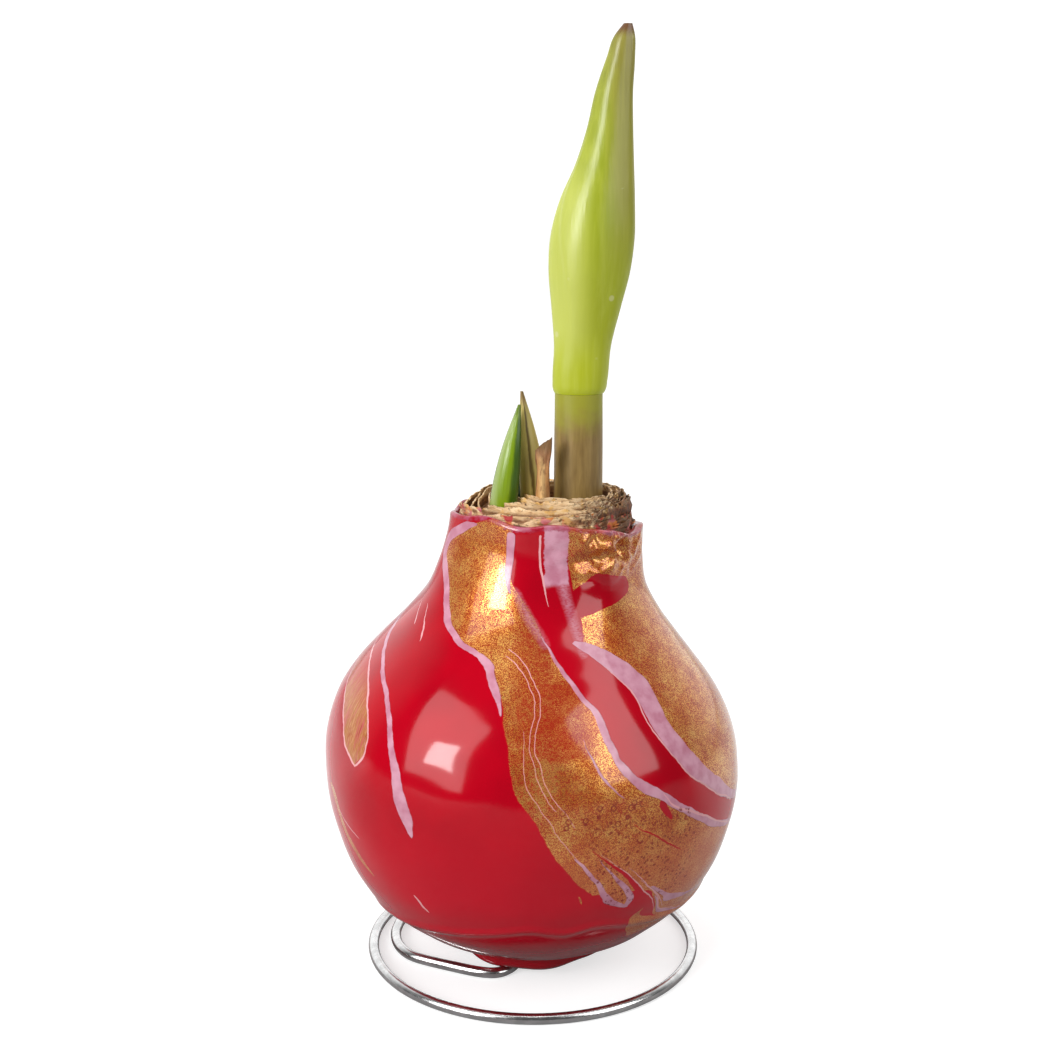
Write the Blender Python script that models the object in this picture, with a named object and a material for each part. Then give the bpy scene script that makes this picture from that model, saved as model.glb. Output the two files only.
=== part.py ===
"""Waxed amaryllis bulb on a wire ring stand: a marbled wax coat round the bulb, the cut dry scales of
its neck, one flower stalk with a closed bud, three young leaf tips and one withered leaf.

Metres, +Z up. The stand lies on z = 0. -Y is the front.
"""

import math
import random

import bmesh
import bpy
import numpy as np
from mathutils import Matrix, Vector

MM = 0.001

# Driving dimensions, in millimetres. GAP is the clearance between touching pieces.
GAP = 0.3
WIRE_R = 1.15
WIRE_SIDES = 8
WIRE_FLAT = WIRE_R * math.cos(math.pi / WIRE_SIDES)
RING_R = 34.85
RING_INNER_R = 30.8
SPIKE_TOP = 14.0
SPIKE_BEND_R = 2.4
SPIKE_HOLE_R = WIRE_R + GAP + 0.05
SPIKE_MOUTH_R = 2.3

PAD_Z = 2.0 * WIRE_FLAT + GAP
BELLY_R = 43.8
NECK_R = 20.0
RIM_Z = 98.5
WAX_WALL = 1.6
COLUMNS = 48

SCALE_COUNT = 6
SCALE_TOP_Z = 101.6
SCALE_DEPTH = 1.5
STALK_X = 9.3
STALK_Y = 1.0
STALK_HALF_WIDTH = 5.0
STALK_HALF_DEPTH = 4.2
STALK_FOOT_Z = 93.0
STALK_TOP_Z = 122.0
BUD_TIP_Z = 194.6
BUD_DEPTH = 0.74
LEAF_FOOT_Z = 94.5
LEAF_BOW = 0.9

# Height and radius of the waxed bulb's outline, from the pad it sits on up to the rim of the wax
OUTLINE = [
    (PAD_Z, 16.4), (3.4, 17.6), (5.0, 18.0), (6.0, 18.3), (7.2, 21.4), (9.6, 26.0), (14.0, 32.0),
    (22.0, 38.2), (32.0, 42.3), (42.0, BELLY_R), (52.0, 42.8), (60.0, 39.6), (66.0, 35.4),
    (71.0, 31.2), (76.0, 26.9), (82.0, 22.9), (88.0, 21.1), (94.0, NECK_R), (RIM_Z, 19.6),
]
# Height and sideways offset of the bulb's middle line, which is not quite straight
LEAN = [(0.0, 0.0), (45.0, -0.4), (66.0, -1.3), (82.0, 0.6), (92.0, 1.9), (110.0, 2.2)]
# Heights of the rings on the wax's outside above the pad, and on its inside
OUTER_HEIGHTS = [
    PAD_Z, 3.4, 5.0, 6.0, 7.2, 8.6, 10.0, 11.6, 13.6, 17.0, 22.0, 28.0, 34.0, 40.0, 46.0, 52.0, 57.0,
    62.0, 66.0, 70.0, 74.0, 78.0, 82.0, 86.0, 89.0, 92.0, 94.5, 96.8, RIM_Z,
]
INNER_HEIGHTS = [6.6, 8.4, 11.5, 17.0, 26.0, 36.0, 46.0, 55.0, 62.0, 68.5, 74.5, 81.0, 88.0, 94.0, RIM_Z]
# Height, middle and half width of the bud: its right side is nearly upright, its left side swells
BUD = [
    (STALK_TOP_Z + GAP, 9.4, 5.15), (124.4, 9.5, 5.5), (132.0, 10.0, 5.75), (139.3, 10.6, 6.7),
    (146.5, 11.2, 7.85), (153.6, 11.8, 8.1), (160.7, 12.7, 7.2), (167.7, 14.1, 5.6), (174.7, 15.1, 4.4),
    (181.5, 15.8, 3.6), (188.4, 17.1, 2.65), (192.4, 17.8, 1.9), (BUD_TIP_Z, 18.4, 0.8),
]
# Share of a leaf's half width at each share of its length: a pointed blade, and a torn stub
BLADE = [(0.0, 0.92), (0.25, 1.0), (0.5, 0.86), (0.75, 0.55), (0.92, 0.24), (1.0, 0.09)]
STUB = [(0.0, 1.0), (0.4, 0.93), (0.62, 0.8), (0.74, 0.78), (0.86, 1.0), (1.0, 1.04)]
# Each leaf's foot and tip, half width, channel depth and thickness, and the way its back faces
LEAVES = {
    "leaf_left": dict(foot=(-6.9, -4.4), tip=(-2.9, -3.4, 120.2), half_width=3.0, hollow=2.0, thick=1.3,
                      facing=246.0, shape=BLADE, slant=0.0, colour=(0.22, 0.42, 0.03), roughness=0.3),
    "leaf_right": dict(foot=(0.7, -0.6), tip=(-2.3, -1.1, 122.6), half_width=2.9, hollow=1.5, thick=1.2,
                       facing=292.0, shape=BLADE, slant=0.0, colour=(0.4, 0.35, 0.12), roughness=0.4),
    "leaf_inner": dict(foot=(-2.9, 2.4), tip=(-2.4, 1.6, 116.0), half_width=2.2, hollow=0.9, thick=1.1,
                       facing=100.0, shape=BLADE, slant=0.0, colour=(0.08, 0.14, 0.1), roughness=0.4),
    "dry_leaf": dict(foot=(1.8, -5.4), tip=(2.1, -5.2, 112.6), half_width=1.65, hollow=0.8, thick=0.9,
                     facing=268.0, shape=STUB, slant=1.4, colour=(0.6, 0.42, 0.2), roughness=0.8),
}
# The wire's way under the bulb, from the inner end of its ring to the foot of the spike
WIRE_RUN = [
    (-30.3, 2.9), (-29.6, -2.0), (-27.8, -6.0), (-24.8, -9.0), (-17.7, -12.6), (-11.6, -15.2),
    (-7.6, -15.6), (-4.6, -13.2), (-2.2, -8.0),
]


def interpolate(points, x):
    """A smooth curve through the points, read at x."""
    xs = np.array([p[0] for p in points])
    ys = np.array([p[1] for p in points])
    slopes = np.gradient(ys, xs)
    i = int(np.clip(np.searchsorted(xs, x) - 1, 0, len(xs) - 2))
    step = xs[i + 1] - xs[i]
    t = min(1.0, max(0.0, (x - xs[i]) / step))
    return float(
        ys[i] * (2 * t**3 - 3 * t**2 + 1) + slopes[i] * step * (t**3 - 2 * t**2 + t)
        + ys[i + 1] * (3 * t**2 - 2 * t**3) + slopes[i + 1] * step * (t**3 - t**2)
    )


def smooth_path(points, per_span):
    """A Catmull-Rom curve through 3-D points."""
    ends = [2 * points[0] - points[1], *points, 2 * points[-1] - points[-2]]
    path = []
    for a, b, c, d in zip(ends, ends[1:], ends[2:], ends[3:]):
        for k in range(per_span):
            t = k / per_span
            path.append(0.5 * (2 * b + (c - a) * t + (2 * a - 5 * b + 4 * c - d) * t**2
                               + (3 * b - a - 3 * c + d) * t**3))
    return path + [points[-1]]


def fade(x, low, high):
    """0 at low and past it, 1 at high and past it, smooth between."""
    t = min(1.0, max(0.0, (x - low) / (high - low)))
    return t * t * (3 - 2 * t)


def direction(degrees):
    """The level direction that many degrees round from +X."""
    return Vector((math.cos(math.radians(degrees)), math.sin(math.radians(degrees)), 0.0))


def material(name, colour, roughness, metallic=0.0):
    made = bpy.data.materials.new(name)
    made.use_nodes = True
    shader = made.node_tree.nodes["Principled BSDF"]
    shader.inputs["Base Color"].default_value = (*colour, 1.0)
    shader.inputs["Roughness"].default_value = roughness
    shader.inputs["Metallic"].default_value = metallic
    return made


def finish(name, bm, look=None, smooth_angle=40.0):
    """Turns a bmesh in millimetres into a named object in metres."""
    bmesh.ops.recalc_face_normals(bm, faces=bm.faces)
    bmesh.ops.scale(bm, vec=(MM, MM, MM), verts=bm.verts)
    mesh = bpy.data.meshes.new(name)
    bm.to_mesh(mesh)
    bm.free()
    mesh.shade_smooth()
    mesh.set_sharp_from_angle(angle=math.radians(smooth_angle))
    if look:
        mesh.materials.append(look)
    made = bpy.data.objects.new(name, mesh)
    bpy.context.collection.objects.link(made)
    return made


def loft(rings, caps=True):
    """A skin through rings of points: each ring's edges are extruded onto the next ring.

    Without caps, the last ring is bridged back to the first.
    """
    bm = bmesh.new()
    loop = [bm.verts.new(p) for p in rings[0]]
    first_edges = [bm.edges.new((loop[i - 1], loop[i])) for i in range(len(loop))]
    if caps:
        bm.faces.new(loop)
    edges = first_edges
    for ring in rings[1:]:
        grown = bmesh.ops.extrude_edge_only(bm, edges=edges)["geom"]
        edges = [g for g in grown if isinstance(g, bmesh.types.BMEdge)]
        new = {g for g in grown if isinstance(g, bmesh.types.BMVert)}
        loop = [next(e.other_vert(v) for e in v.link_edges if e.other_vert(v) in new) for v in loop]
        for vertex, place in zip(loop, ring):
            vertex.co = place
    if caps:
        bm.faces.new(loop)
    else:
        bmesh.ops.bridge_loops(bm, edges=first_edges + edges)
    return bm


# The waxed bulb

def outline_at(z):
    return interpolate(OUTLINE, z)


def rim_height(angle):
    """The wax stops higher at the front left than at the right, on a wavy line."""
    tilt = -1.9 * math.cos(angle) - 1.4 * math.sin(angle)
    return RIM_Z - 2.2 + tilt + 0.45 * math.sin(5 * angle + 1.0) + 0.3 * math.sin(9 * angle + 2.4)


def bulge(angle, z):
    """Radius factor of the grown bulb: faint flats on the belly, more on the neck."""
    belly = 0.006 * math.sin(2 * angle + 0.6) + 0.005 * math.sin(3 * angle + 2.0)
    neck = 0.018 * math.sin(4 * angle + 0.4) + 0.014 * math.sin(7 * angle + 1.9)
    return 1.0 + belly * fade(z, 4.0, 16.0) + neck * fade(z, 70.0, 92.0)


def placed(angle, radius, z):
    """A point of the bulb's skin, with its lean, its flats and the slope of its rim."""
    start = 84.0
    height = z
    if z > start:
        height = start + (z - start) * (rim_height(angle) - start) / (RIM_Z - start)
    r = radius * bulge(angle, z)
    return Vector((interpolate(LEAN, z) + r * math.cos(angle), r * math.sin(angle), height))


def wax_relief(angle, z):
    """Raised runs and folds of the wax, in millimetres outwards."""
    hem = 11.0 + 1.6 * math.sin(2 * angle + 0.3) + 0.8 * math.sin(5 * angle)
    step = 0.55 * fade(z, hem - 1.6, hem) * (1 - fade(z, hem, hem + 8.0))
    crumple = 0.75 * math.sin(11 * angle + 0.2 * z) + 0.45 * math.sin(17 * angle - 0.3 * z)
    side = 0.5 + 0.5 * math.cos(angle + 0.7)
    lip = 0.7 * fade(z, 93.0, 97.5)
    foot = (0.5 * math.sin(3 * angle + 0.5) + 0.35 * math.sin(8 * angle)) * (1 - fade(z, 5.0, 8.0))
    return step + crumple * side**2 * fade(z, 86.0, 95.0) + lip + foot


def inward(z, depth):
    """The point of the outline's own section that lies depth inside its skin."""
    low = max(z - 0.4, PAD_Z)
    high = min(z + 0.4, RIM_Z)
    dr = outline_at(high) - outline_at(low)
    length = math.hypot(dr, high - low)
    return outline_at(z) - depth * (high - low) / length, z + depth * dr / length


def inner_section(depth):
    """Radius and height pairs, depth inside the outline, from the base up."""
    floor = PAD_Z + depth
    pairs = [inward(z, depth) for z in INNER_HEIGHTS]
    return [(r, max(z, floor + 0.15 * i)) for i, (r, z) in enumerate(pairs)]


def turned_ring(point_at):
    """One ring of the skin: point_at gives the point for an angle."""
    return [point_at(2 * math.pi * k / COLUMNS) for k in range(COLUMNS)]


def wax_coat():
    """The wax shell: outside up to the rim, then down the inside, with a hole for the stand's spike."""
    rings = [
        turned_ring(lambda a: placed(a, SPIKE_MOUTH_R, PAD_Z)),
        turned_ring(lambda a: placed(a, 9.0, PAD_Z)),
    ]
    for z in OUTER_HEIGHTS:
        rings.append(turned_ring(lambda a, z=z: placed(a, outline_at(z) + wax_relief(a, z), z)))
    for r, z in reversed(inner_section(WAX_WALL)):
        rings.append(turned_ring(lambda a, r=r, z=z: placed(a, r, z)))
    floor = PAD_Z + WAX_WALL
    rings.append(turned_ring(lambda a: placed(a, 8.0, floor)))
    rings.append(turned_ring(lambda a: placed(a, SPIKE_HOLE_R, floor)))
    return finish("wax_coat", loft(rings, caps=False), material("wax", (0.62, 0.01, 0.03), 0.12))


# The cut neck: dry scales in rings round the stalk, leaning out a little, with a torn edge

def scale_ring(share, angle, outwards, height):
    """A point on the ring that lies share of the way from the outermost scale to the innermost."""
    lumps = 1.0 + (bulge(angle, RIM_Z) - 1.0) * (1.0 - share)
    middle = 2.1 + 5.0 * share
    across = (17.2 - 7.8 * share) * lumps + outwards
    deep = (17.2 - 8.4 * share) * lumps + outwards
    return Vector((middle + across * math.cos(angle), deep * math.sin(angle), height))


def torn_edge(scale, angle, phase):
    """Height of a scale's edge above its mean."""
    return (0.28 * math.sin(3 * angle + phase) + 0.2 * math.sin(7 * angle + 2.3 * phase)
            + 0.16 * math.sin(13 * angle + 3.1 * phase + scale))


def scale_fold(scale, phase):
    """The four rings that go up one scale, over its edge and down to the groove behind it."""
    share = scale / (SCALE_COUNT - 1)
    behind = (scale + 0.55) / (SCALE_COUNT - 1)
    top = SCALE_TOP_Z - 2.0 * (1 - share)

    def wander(a):
        return 0.16 * math.sin(4 * a + phase) + 0.1 * math.sin(9 * a + 2 * phase)

    def edge(a, lean, part):
        between = share + part * (behind - share)
        return scale_ring(between, a, wander(a) + lean, top + torn_edge(scale, a, phase))

    return [
        turned_ring(lambda a: scale_ring(share, a, wander(a), top - SCALE_DEPTH)),
        turned_ring(lambda a: edge(a, 0.35, 0.0)),
        turned_ring(lambda a: edge(a, -0.15, 0.4)),
        turned_ring(lambda a: scale_ring(behind, a, wander(a), top - SCALE_DEPTH)),
    ]


def neck_rings():
    """Rings of points that rise and fall over the edge of each scale, from outside to inside."""
    draw = random.Random(7)
    rings = []
    for scale in range(SCALE_COUNT):
        rings += scale_fold(scale, draw.uniform(0.0, 2 * math.pi))
    rings.append(turned_ring(lambda a: scale_ring(1.3, a, 0.0, SCALE_TOP_Z - 1.6)))
    rings.append(turned_ring(lambda a: scale_ring(1.3, a, -3.2, SCALE_TOP_Z - 1.5)))
    return rings


def bulb():
    """The grown bulb under the wax, with its cut neck standing out of the rim."""
    floor = PAD_Z + WAX_WALL + GAP
    rings = [
        turned_ring(lambda a: placed(a, 0.5, SPIKE_TOP + GAP)),
        turned_ring(lambda a: placed(a, SPIKE_HOLE_R, SPIKE_TOP + GAP - 0.4)),
        turned_ring(lambda a: placed(a, SPIKE_HOLE_R, floor)),
        turned_ring(lambda a: placed(a, 8.0, floor)),
    ]
    for r, z in inner_section(WAX_WALL + GAP):
        rings.append(turned_ring(lambda a, r=r, z=z: placed(a, r, z)))
    rings += neck_rings()
    made = finish("bulb", loft(rings), material("dry_scale", (0.5, 0.33, 0.16), 0.75))
    for socket in sockets():
        cut = made.modifiers.new("socket", "BOOLEAN")
        cut.operation = "DIFFERENCE"
        cut.solver = "EXACT"
        cut.object = socket
    return made


# Stalk, bud and leaves

def oval_ring(x, y, z, half_width, half_depth, count, turn=0.0):
    """A level oval, turned about its middle by an angle."""
    ring = []
    for k in range(count):
        a = 2 * math.pi * k / count
        u = half_width * math.cos(a)
        v = half_depth * math.sin(a)
        ring.append(Vector((x + u * math.cos(turn) - v * math.sin(turn),
                            y + u * math.sin(turn) + v * math.cos(turn), z)))
    return ring


def flower_stalk():
    """The scape is oval, a touch wider at its foot."""
    rings = []
    for z in (STALK_FOOT_Z, 99.0, 104.0, 110.0, 116.0, STALK_TOP_Z - 1.0, STALK_TOP_Z):
        wide = 1.0 + 0.012 * fade(z, 116.0, STALK_FOOT_Z) - 0.02 * fade(z, 110.0, STALK_TOP_Z)
        rings.append(oval_ring(STALK_X, STALK_Y, z, STALK_HALF_WIDTH * wide, STALK_HALF_DEPTH * wide, 24))
    return finish("flower_stalk", loft(rings), material("stalk", (0.36, 0.27, 0.1), 0.45))


def seam_angle(z):
    """Where the front bract's left margin runs: from the left side at the shoulder round to the front."""
    return math.radians(236.0 - 50.0 * fade(z, 136.0, 168.0))


def bud_point(angle, z):
    """A point of the bud's skin: its swell, a faint keel on four sides and the lap of the front bract."""
    middle = interpolate([(b[0], b[1]) for b in BUD], z)
    half = interpolate([(b[0], b[2]) for b in BUD], z)
    step = 0.45 * fade(z, 128.0, 142.0) * (1 - fade(z, 166.0, 176.0))
    past = (angle - seam_angle(z)) % (2 * math.pi)
    lap = step * math.exp(-past * 1.1) * fade(past, 0.0, 0.25)
    keel = 0.05 * half * math.cos(4 * angle + 0.8) * fade(z, 126.0, 140.0)
    r = half + lap + keel
    return Vector((middle + r * math.cos(angle), STALK_Y + BUD_DEPTH * r * math.sin(angle), z))


def flower_bud():
    """Two bracts closed round the flowers: the front one laps the rear one and carries on to the tip."""
    rows = 26
    columns = 28
    rings = []
    for row in range(rows + 1):
        z = BUD[0][0] + (BUD_TIP_Z - BUD[0][0]) * row / rows
        rings.append([bud_point(2 * math.pi * k / columns, z) for k in range(columns)])
    return finish("flower_bud", loft(rings), material("bud", (0.4, 0.52, 0.08), 0.35))


def leaf(name, foot, tip, half_width, hollow, thick, facing, shape, slant, colour, roughness):
    """A young leaf: a channelled blade whose back faces the given way.

    slant is how much higher a torn end is at one margin than at its middle.
    """
    rows = 12
    across = 7
    start = Vector((*foot, LEAF_FOOT_Z))
    out = direction(facing)
    side = direction(facing + 90.0)
    rings = []
    for row in range(rows + 1):
        t = row / rows
        wide = interpolate(shape, t)
        body = max(0.6, thick * (0.45 + 0.55 * wide))
        middle = start.lerp(Vector(tip), t) + out * (LEAF_BOW * math.sin(math.pi * t))
        outer = []
        inner = []
        for k in range(across):
            u = 2 * k / (across - 1) - 1
            arch = hollow * wide * (1 - u * u)
            rise = Vector((0.0, 0.0, slant * u * fade(t, 0.6, 1.0)))
            outer.append(middle + side * (half_width * wide * u) + out * arch + rise)
            inner.append(middle + side * (half_width * wide * u * 0.94)
                         + out * (arch - body * (1 - 0.55 * u * u)) + rise)
        rings.append(outer + inner[::-1])
    return finish(name, loft(rings), material(name, colour, roughness), smooth_angle=50.0)


def cutter(name, rings):
    made = finish(name, loft(rings))
    made.hide_render = True
    made.display_type = "WIRE"
    return made


def leaf_socket(name, facts):
    """An oval hole that follows a leaf's foot up through the neck."""
    start = Vector((*facts["foot"], LEAF_FOOT_Z))
    tip = Vector(facts["tip"])
    half_depth = 0.5 * (facts["hollow"] + facts["thick"]) + 0.95
    rings = []
    for z in (LEAF_FOOT_Z - GAP, SCALE_TOP_Z + 4.0):
        t = (z - start.z) / (tip.z - start.z)
        outwards = 0.5 * (facts["hollow"] - facts["thick"]) + LEAF_BOW * math.sin(math.pi * max(t, 0.0))
        middle = start.lerp(tip, t) + direction(facts["facing"]) * outwards
        turn = math.radians(facts["facing"] + 90.0)
        rings.append(oval_ring(middle.x, middle.y, z, facts["half_width"] + 0.75, half_depth, 16, turn))
    return cutter(name + "_socket", rings)


def sockets():
    """Plain holes in the neck for the stalk and the leaves, a clearance wider than what stands in them."""
    wide = 1.02
    stalk = [
        oval_ring(STALK_X, STALK_Y, z, STALK_HALF_WIDTH * wide + GAP, STALK_HALF_DEPTH * wide + GAP, 24)
        for z in (STALK_FOOT_Z - GAP, SCALE_TOP_Z + 4.0)
    ]
    return [cutter("stalk_socket", stalk)] + [leaf_socket(*entry) for entry in LEAVES.items()]


# The stand

def stand_path():
    """The wire's middle line: round the ring, inwards at the back, across under the bulb, then up."""
    free_end = 135.0
    spiral_from = 420.0
    spiral_to = 526.0
    steps = 60
    path = []
    for k in range(steps + 1):
        degrees = free_end + (spiral_to - free_end) * k / steps
        r = RING_R - (RING_R - RING_INNER_R) * fade(degrees, spiral_from, spiral_to)
        path.append(direction(degrees) * r + Vector((0.0, 0.0, WIRE_FLAT)))
    run = [Vector((x, y, WIRE_FLAT)) for x, y in WIRE_RUN]
    path += smooth_path([path[-1], *run], 4)[1:]
    for k in range(7):
        a = math.radians(15.0 * k)
        path.append(Vector((0.0, -SPIKE_BEND_R * (1 - math.sin(a)),
                            WIRE_FLAT + SPIKE_BEND_R * (1 - math.cos(a)))))
    return path + [Vector((0.0, 0.0, SPIKE_TOP))]


def wire_stand():
    """One length of round wire, swept along its path with a flat side down on the ring."""
    path = stand_path()
    rings = []
    up = Vector((0.0, 0.0, 1.0))
    for k, p in enumerate(path):
        ahead = (path[min(k + 1, len(path) - 1)] - path[max(k - 1, 0)]).normalized()
        side = ahead.cross(up).normalized()
        up = side.cross(ahead).normalized()
        ring = []
        for s in range(WIRE_SIDES):
            a = 2 * math.pi * (s + 0.5) / WIRE_SIDES
            ring.append(p + side * (WIRE_R * math.cos(a)) + up * (WIRE_R * math.sin(a)))
        rings.append(ring)
    return finish("wire_stand", loft(rings), material("wire", (0.7, 0.7, 0.7), 0.25, 1.0))


def seat_on_origin():
    """Moves the whole part so that the origin is under the middle of its box, on the surface."""
    bpy.context.view_layer.update()
    solids = [o for o in bpy.data.objects if not o.hide_render]
    corners = [o.matrix_world @ Vector(c) for o in solids for c in o.bound_box]
    low = [min(c[i] for c in corners) for i in range(3)]
    high = [max(c[i] for c in corners) for i in range(3)]
    shift = Matrix.Translation((-(low[0] + high[0]) / 2, -(low[1] + high[1]) / 2, -low[2]))
    for o in bpy.data.objects:
        o.data.transform(shift)


def main():
    for old in list(bpy.data.objects):
        bpy.data.objects.remove(old)
    wire_stand()
    wax_coat()
    bulb()
    flower_stalk()
    flower_bud()
    for name, facts in LEAVES.items():
        leaf(name, **facts)
    seat_on_origin()


main()
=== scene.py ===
"""The looks of a waxed amaryllis bulb on its wire stand.

Pieces are worked out in millimetres round the stand's spike, and finished in metres in the frame's place.
"""

import functools
import math
import random

import bmesh
import bpy
import numpy as np
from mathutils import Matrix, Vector, noise


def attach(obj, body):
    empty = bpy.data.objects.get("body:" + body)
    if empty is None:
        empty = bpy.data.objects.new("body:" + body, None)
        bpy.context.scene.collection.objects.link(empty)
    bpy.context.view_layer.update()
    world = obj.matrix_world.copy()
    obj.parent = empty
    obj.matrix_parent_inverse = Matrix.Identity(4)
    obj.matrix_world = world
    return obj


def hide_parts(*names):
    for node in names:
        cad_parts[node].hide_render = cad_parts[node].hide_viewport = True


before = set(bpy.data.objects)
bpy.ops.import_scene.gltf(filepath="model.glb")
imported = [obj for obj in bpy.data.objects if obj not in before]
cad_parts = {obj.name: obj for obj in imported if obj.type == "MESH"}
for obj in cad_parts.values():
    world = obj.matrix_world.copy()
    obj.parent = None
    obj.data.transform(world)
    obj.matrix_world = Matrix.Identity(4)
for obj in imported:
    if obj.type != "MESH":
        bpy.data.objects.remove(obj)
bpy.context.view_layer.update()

MM = 0.001
TURN = 2.0 * math.pi

# The spike stands on the ring's middle, which is where every piece is worked out from
spike = [v.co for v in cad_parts["wire_stand"].data.vertices if v.co.z > 12 * MM]
AXIS_X = sum(p.x for p in spike) / len(spike) / MM
AXIS_Y = sum(p.y for p in spike) / len(spike) / MM

# Driving dimensions, in millimetres
WIRE_R = 1.12
RING_R = 34.85
RING_INNER_R = 30.8
SPIKE_TOP = 13.8
SPIKE_BEND_R = 2.4
PAD_Z = 2.43
RIM_Z = 98.5
WAX_WALL = 1.6
BODY_DEPTH = 1.95
NECK_START_Z = 84.0
NECK_X = 2.1
NECK_R = 17.6
NECK_SHIFT = 5.0
BED_R = 17.2
SCALE_FOOT_Z = 94.0
SCALE_TOP_Z = 101.6
SCALE_SHEETS = 8
FLAKES = 40
STALK_X = 9.3
STALK_Y = 1.0
STALK_HALF_WIDTH = 5.0
STALK_HALF_DEPTH = 4.2
STALK_FOOT_Z = 93.0
STALK_TOP_Z = 122.0
BUD_TIP_Z = 194.58
BUD_DEPTH = 0.74
LEAF_FOOT_Z = 94.5
LEAF_BOW = 0.9
CAMERA_AT = (-1.70, -340.66, 173.1)
CAMERA_TILT = 77.0
CAMERA_LENS = 57.73

# Height and radius of the waxed bulb, from the pad it sits on up to the rim of the wax
OUTLINE = [
    (PAD_Z, 16.4), (3.4, 17.6), (5.0, 18.0), (6.0, 18.3), (7.2, 21.4), (9.6, 26.0), (14.0, 32.0),
    (22.0, 38.2), (32.0, 42.3), (42.0, 43.8), (52.0, 42.8), (60.0, 39.6), (66.0, 35.4),
    (71.0, 31.2), (76.0, 26.9), (82.0, 22.9), (88.0, 21.1), (94.0, 20.0), (RIM_Z, 19.6),
]
# Height and sideways offset of the bulb's middle line
LEAN = [(0.0, 0.0), (45.0, -0.4), (66.0, -1.3), (82.0, 0.6), (92.0, 1.9), (110.0, 2.2)]
# Height, middle and half width of the bud
BUD = [
    (STALK_TOP_Z + 0.02, 9.35, 5.05), (122.7, 9.4, 5.4), (124.4, 9.5, 5.6), (132.0, 10.0, 5.75),
    (139.3, 10.6, 6.7), (146.5, 11.2, 7.85), (153.6, 11.8, 8.1), (160.7, 12.7, 7.2), (167.7, 14.1, 5.6),
    (174.7, 15.1, 4.4), (181.5, 15.8, 3.6), (188.4, 17.1, 2.65), (192.4, 17.8, 1.9), (BUD_TIP_Z, 18.4, 0.8),
]
# Share of a leaf's half width at each share of its length
BLADE = [(0.0, 0.92), (0.25, 1.0), (0.5, 0.86), (0.75, 0.55), (0.92, 0.24), (1.0, 0.09)]
STUB = [(0.0, 1.0), (0.4, 0.93), (0.62, 0.8), (0.74, 0.78), (0.86, 1.0), (1.0, 1.04)]
# Foot, tip, half width, channel depth, thickness and the way the back faces
LEAVES = {
    "green_leaf": dict(node="leaf_left", slot="leaf_green", foot=(-6.9, -4.4), tip=(-2.9, -3.4, 120.2),
                       half_width=3.0, hollow=2.0, thick=1.3, back=246.0, shape=BLADE, slant=0.0),
    "olive_leaf": dict(node="leaf_right", slot="leaf_olive", foot=(0.7, -0.6), tip=(-2.3, -1.1, 122.6),
                       half_width=2.9, hollow=1.5, thick=1.2, back=292.0, shape=BLADE, slant=0.0),
    "dark_leaf": dict(node="leaf_inner", slot="leaf_dark", foot=(-2.9, 2.4), tip=(-2.4, 1.6, 116.0),
                      half_width=2.2, hollow=0.9, thick=1.1, back=100.0, shape=BLADE, slant=0.0),
    "withered_leaf": dict(node="dry_leaf", slot="dry_leaf", foot=(1.8, -5.4), tip=(2.1, -5.2, 112.6),
                          half_width=1.65, hollow=0.8, thick=0.9, back=268.0, shape=STUB, slant=1.4),
}
# The wire's way under the bulb, from the inner end of its ring to the foot of the spike
WIRE_RUN = [
    (-30.3, 2.9), (-29.6, -2.0), (-27.8, -6.0), (-24.8, -9.0), (-17.7, -12.6), (-11.6, -15.2),
    (-7.6, -15.6), (-4.6, -13.2), (-2.2, -8.0),
]


# Curves and steps

def interpolate(points, x):
    """A smooth curve through the points, read at x, which may be a number or an array."""
    xs = np.array([p[0] for p in points], float)
    ys = np.array([p[1] for p in points], float)
    slopes = np.gradient(ys, xs)
    i = np.clip(np.searchsorted(xs, x) - 1, 0, len(xs) - 2)
    step = xs[i + 1] - xs[i]
    t = np.clip((x - xs[i]) / step, 0.0, 1.0)
    return (ys[i] * (2 * t**3 - 3 * t**2 + 1) + slopes[i] * step * (t**3 - 2 * t**2 + t)
            + ys[i + 1] * (3 * t**2 - 2 * t**3) + slopes[i + 1] * step * (t**3 - t**2))


def fade(x, low, high):
    """0 at low and past it, 1 at high and past it, smooth between."""
    t = min(1.0, max(0.0, (x - low) / (high - low)))
    return t * t * (3 - 2 * t)


def near(x, middle, reach):
    """1 at the middle, falling smoothly to 0 over the reach."""
    return math.exp(-((x - middle) / reach) ** 2)


def facing(angle, middle, reach):
    """1 where an angle in radians faces the middle one in degrees, falling to 0 over the reach."""
    return near((math.degrees(angle) - middle + 180.0) % 360.0 - 180.0, 0.0, reach)


def direction(degrees):
    """A level direction, one long."""
    return Vector((math.cos(math.radians(degrees)), math.sin(math.radians(degrees)), 0.0))


def lumps(x, y, z, size):
    """Smooth noise between about -1 and 1, with lumps of the given size."""
    return noise.noise(Vector((x, y, z)) / size)


def smooth_path(points, per_span):
    """A Catmull-Rom curve through 3-D points."""
    ends = [2 * points[0] - points[1], *points, 2 * points[-1] - points[-2]]
    path = []
    for a, b, c, d in zip(ends, ends[1:], ends[2:], ends[3:]):
        for k in range(per_span):
            t = k / per_span
            path.append(0.5 * (2 * b + (c - a) * t + (2 * a - 5 * b + 4 * c - d) * t**2
                               + (3 * b - a - 3 * c + d) * t**3))
    return path + [points[-1]]


# Mesh pieces

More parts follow.
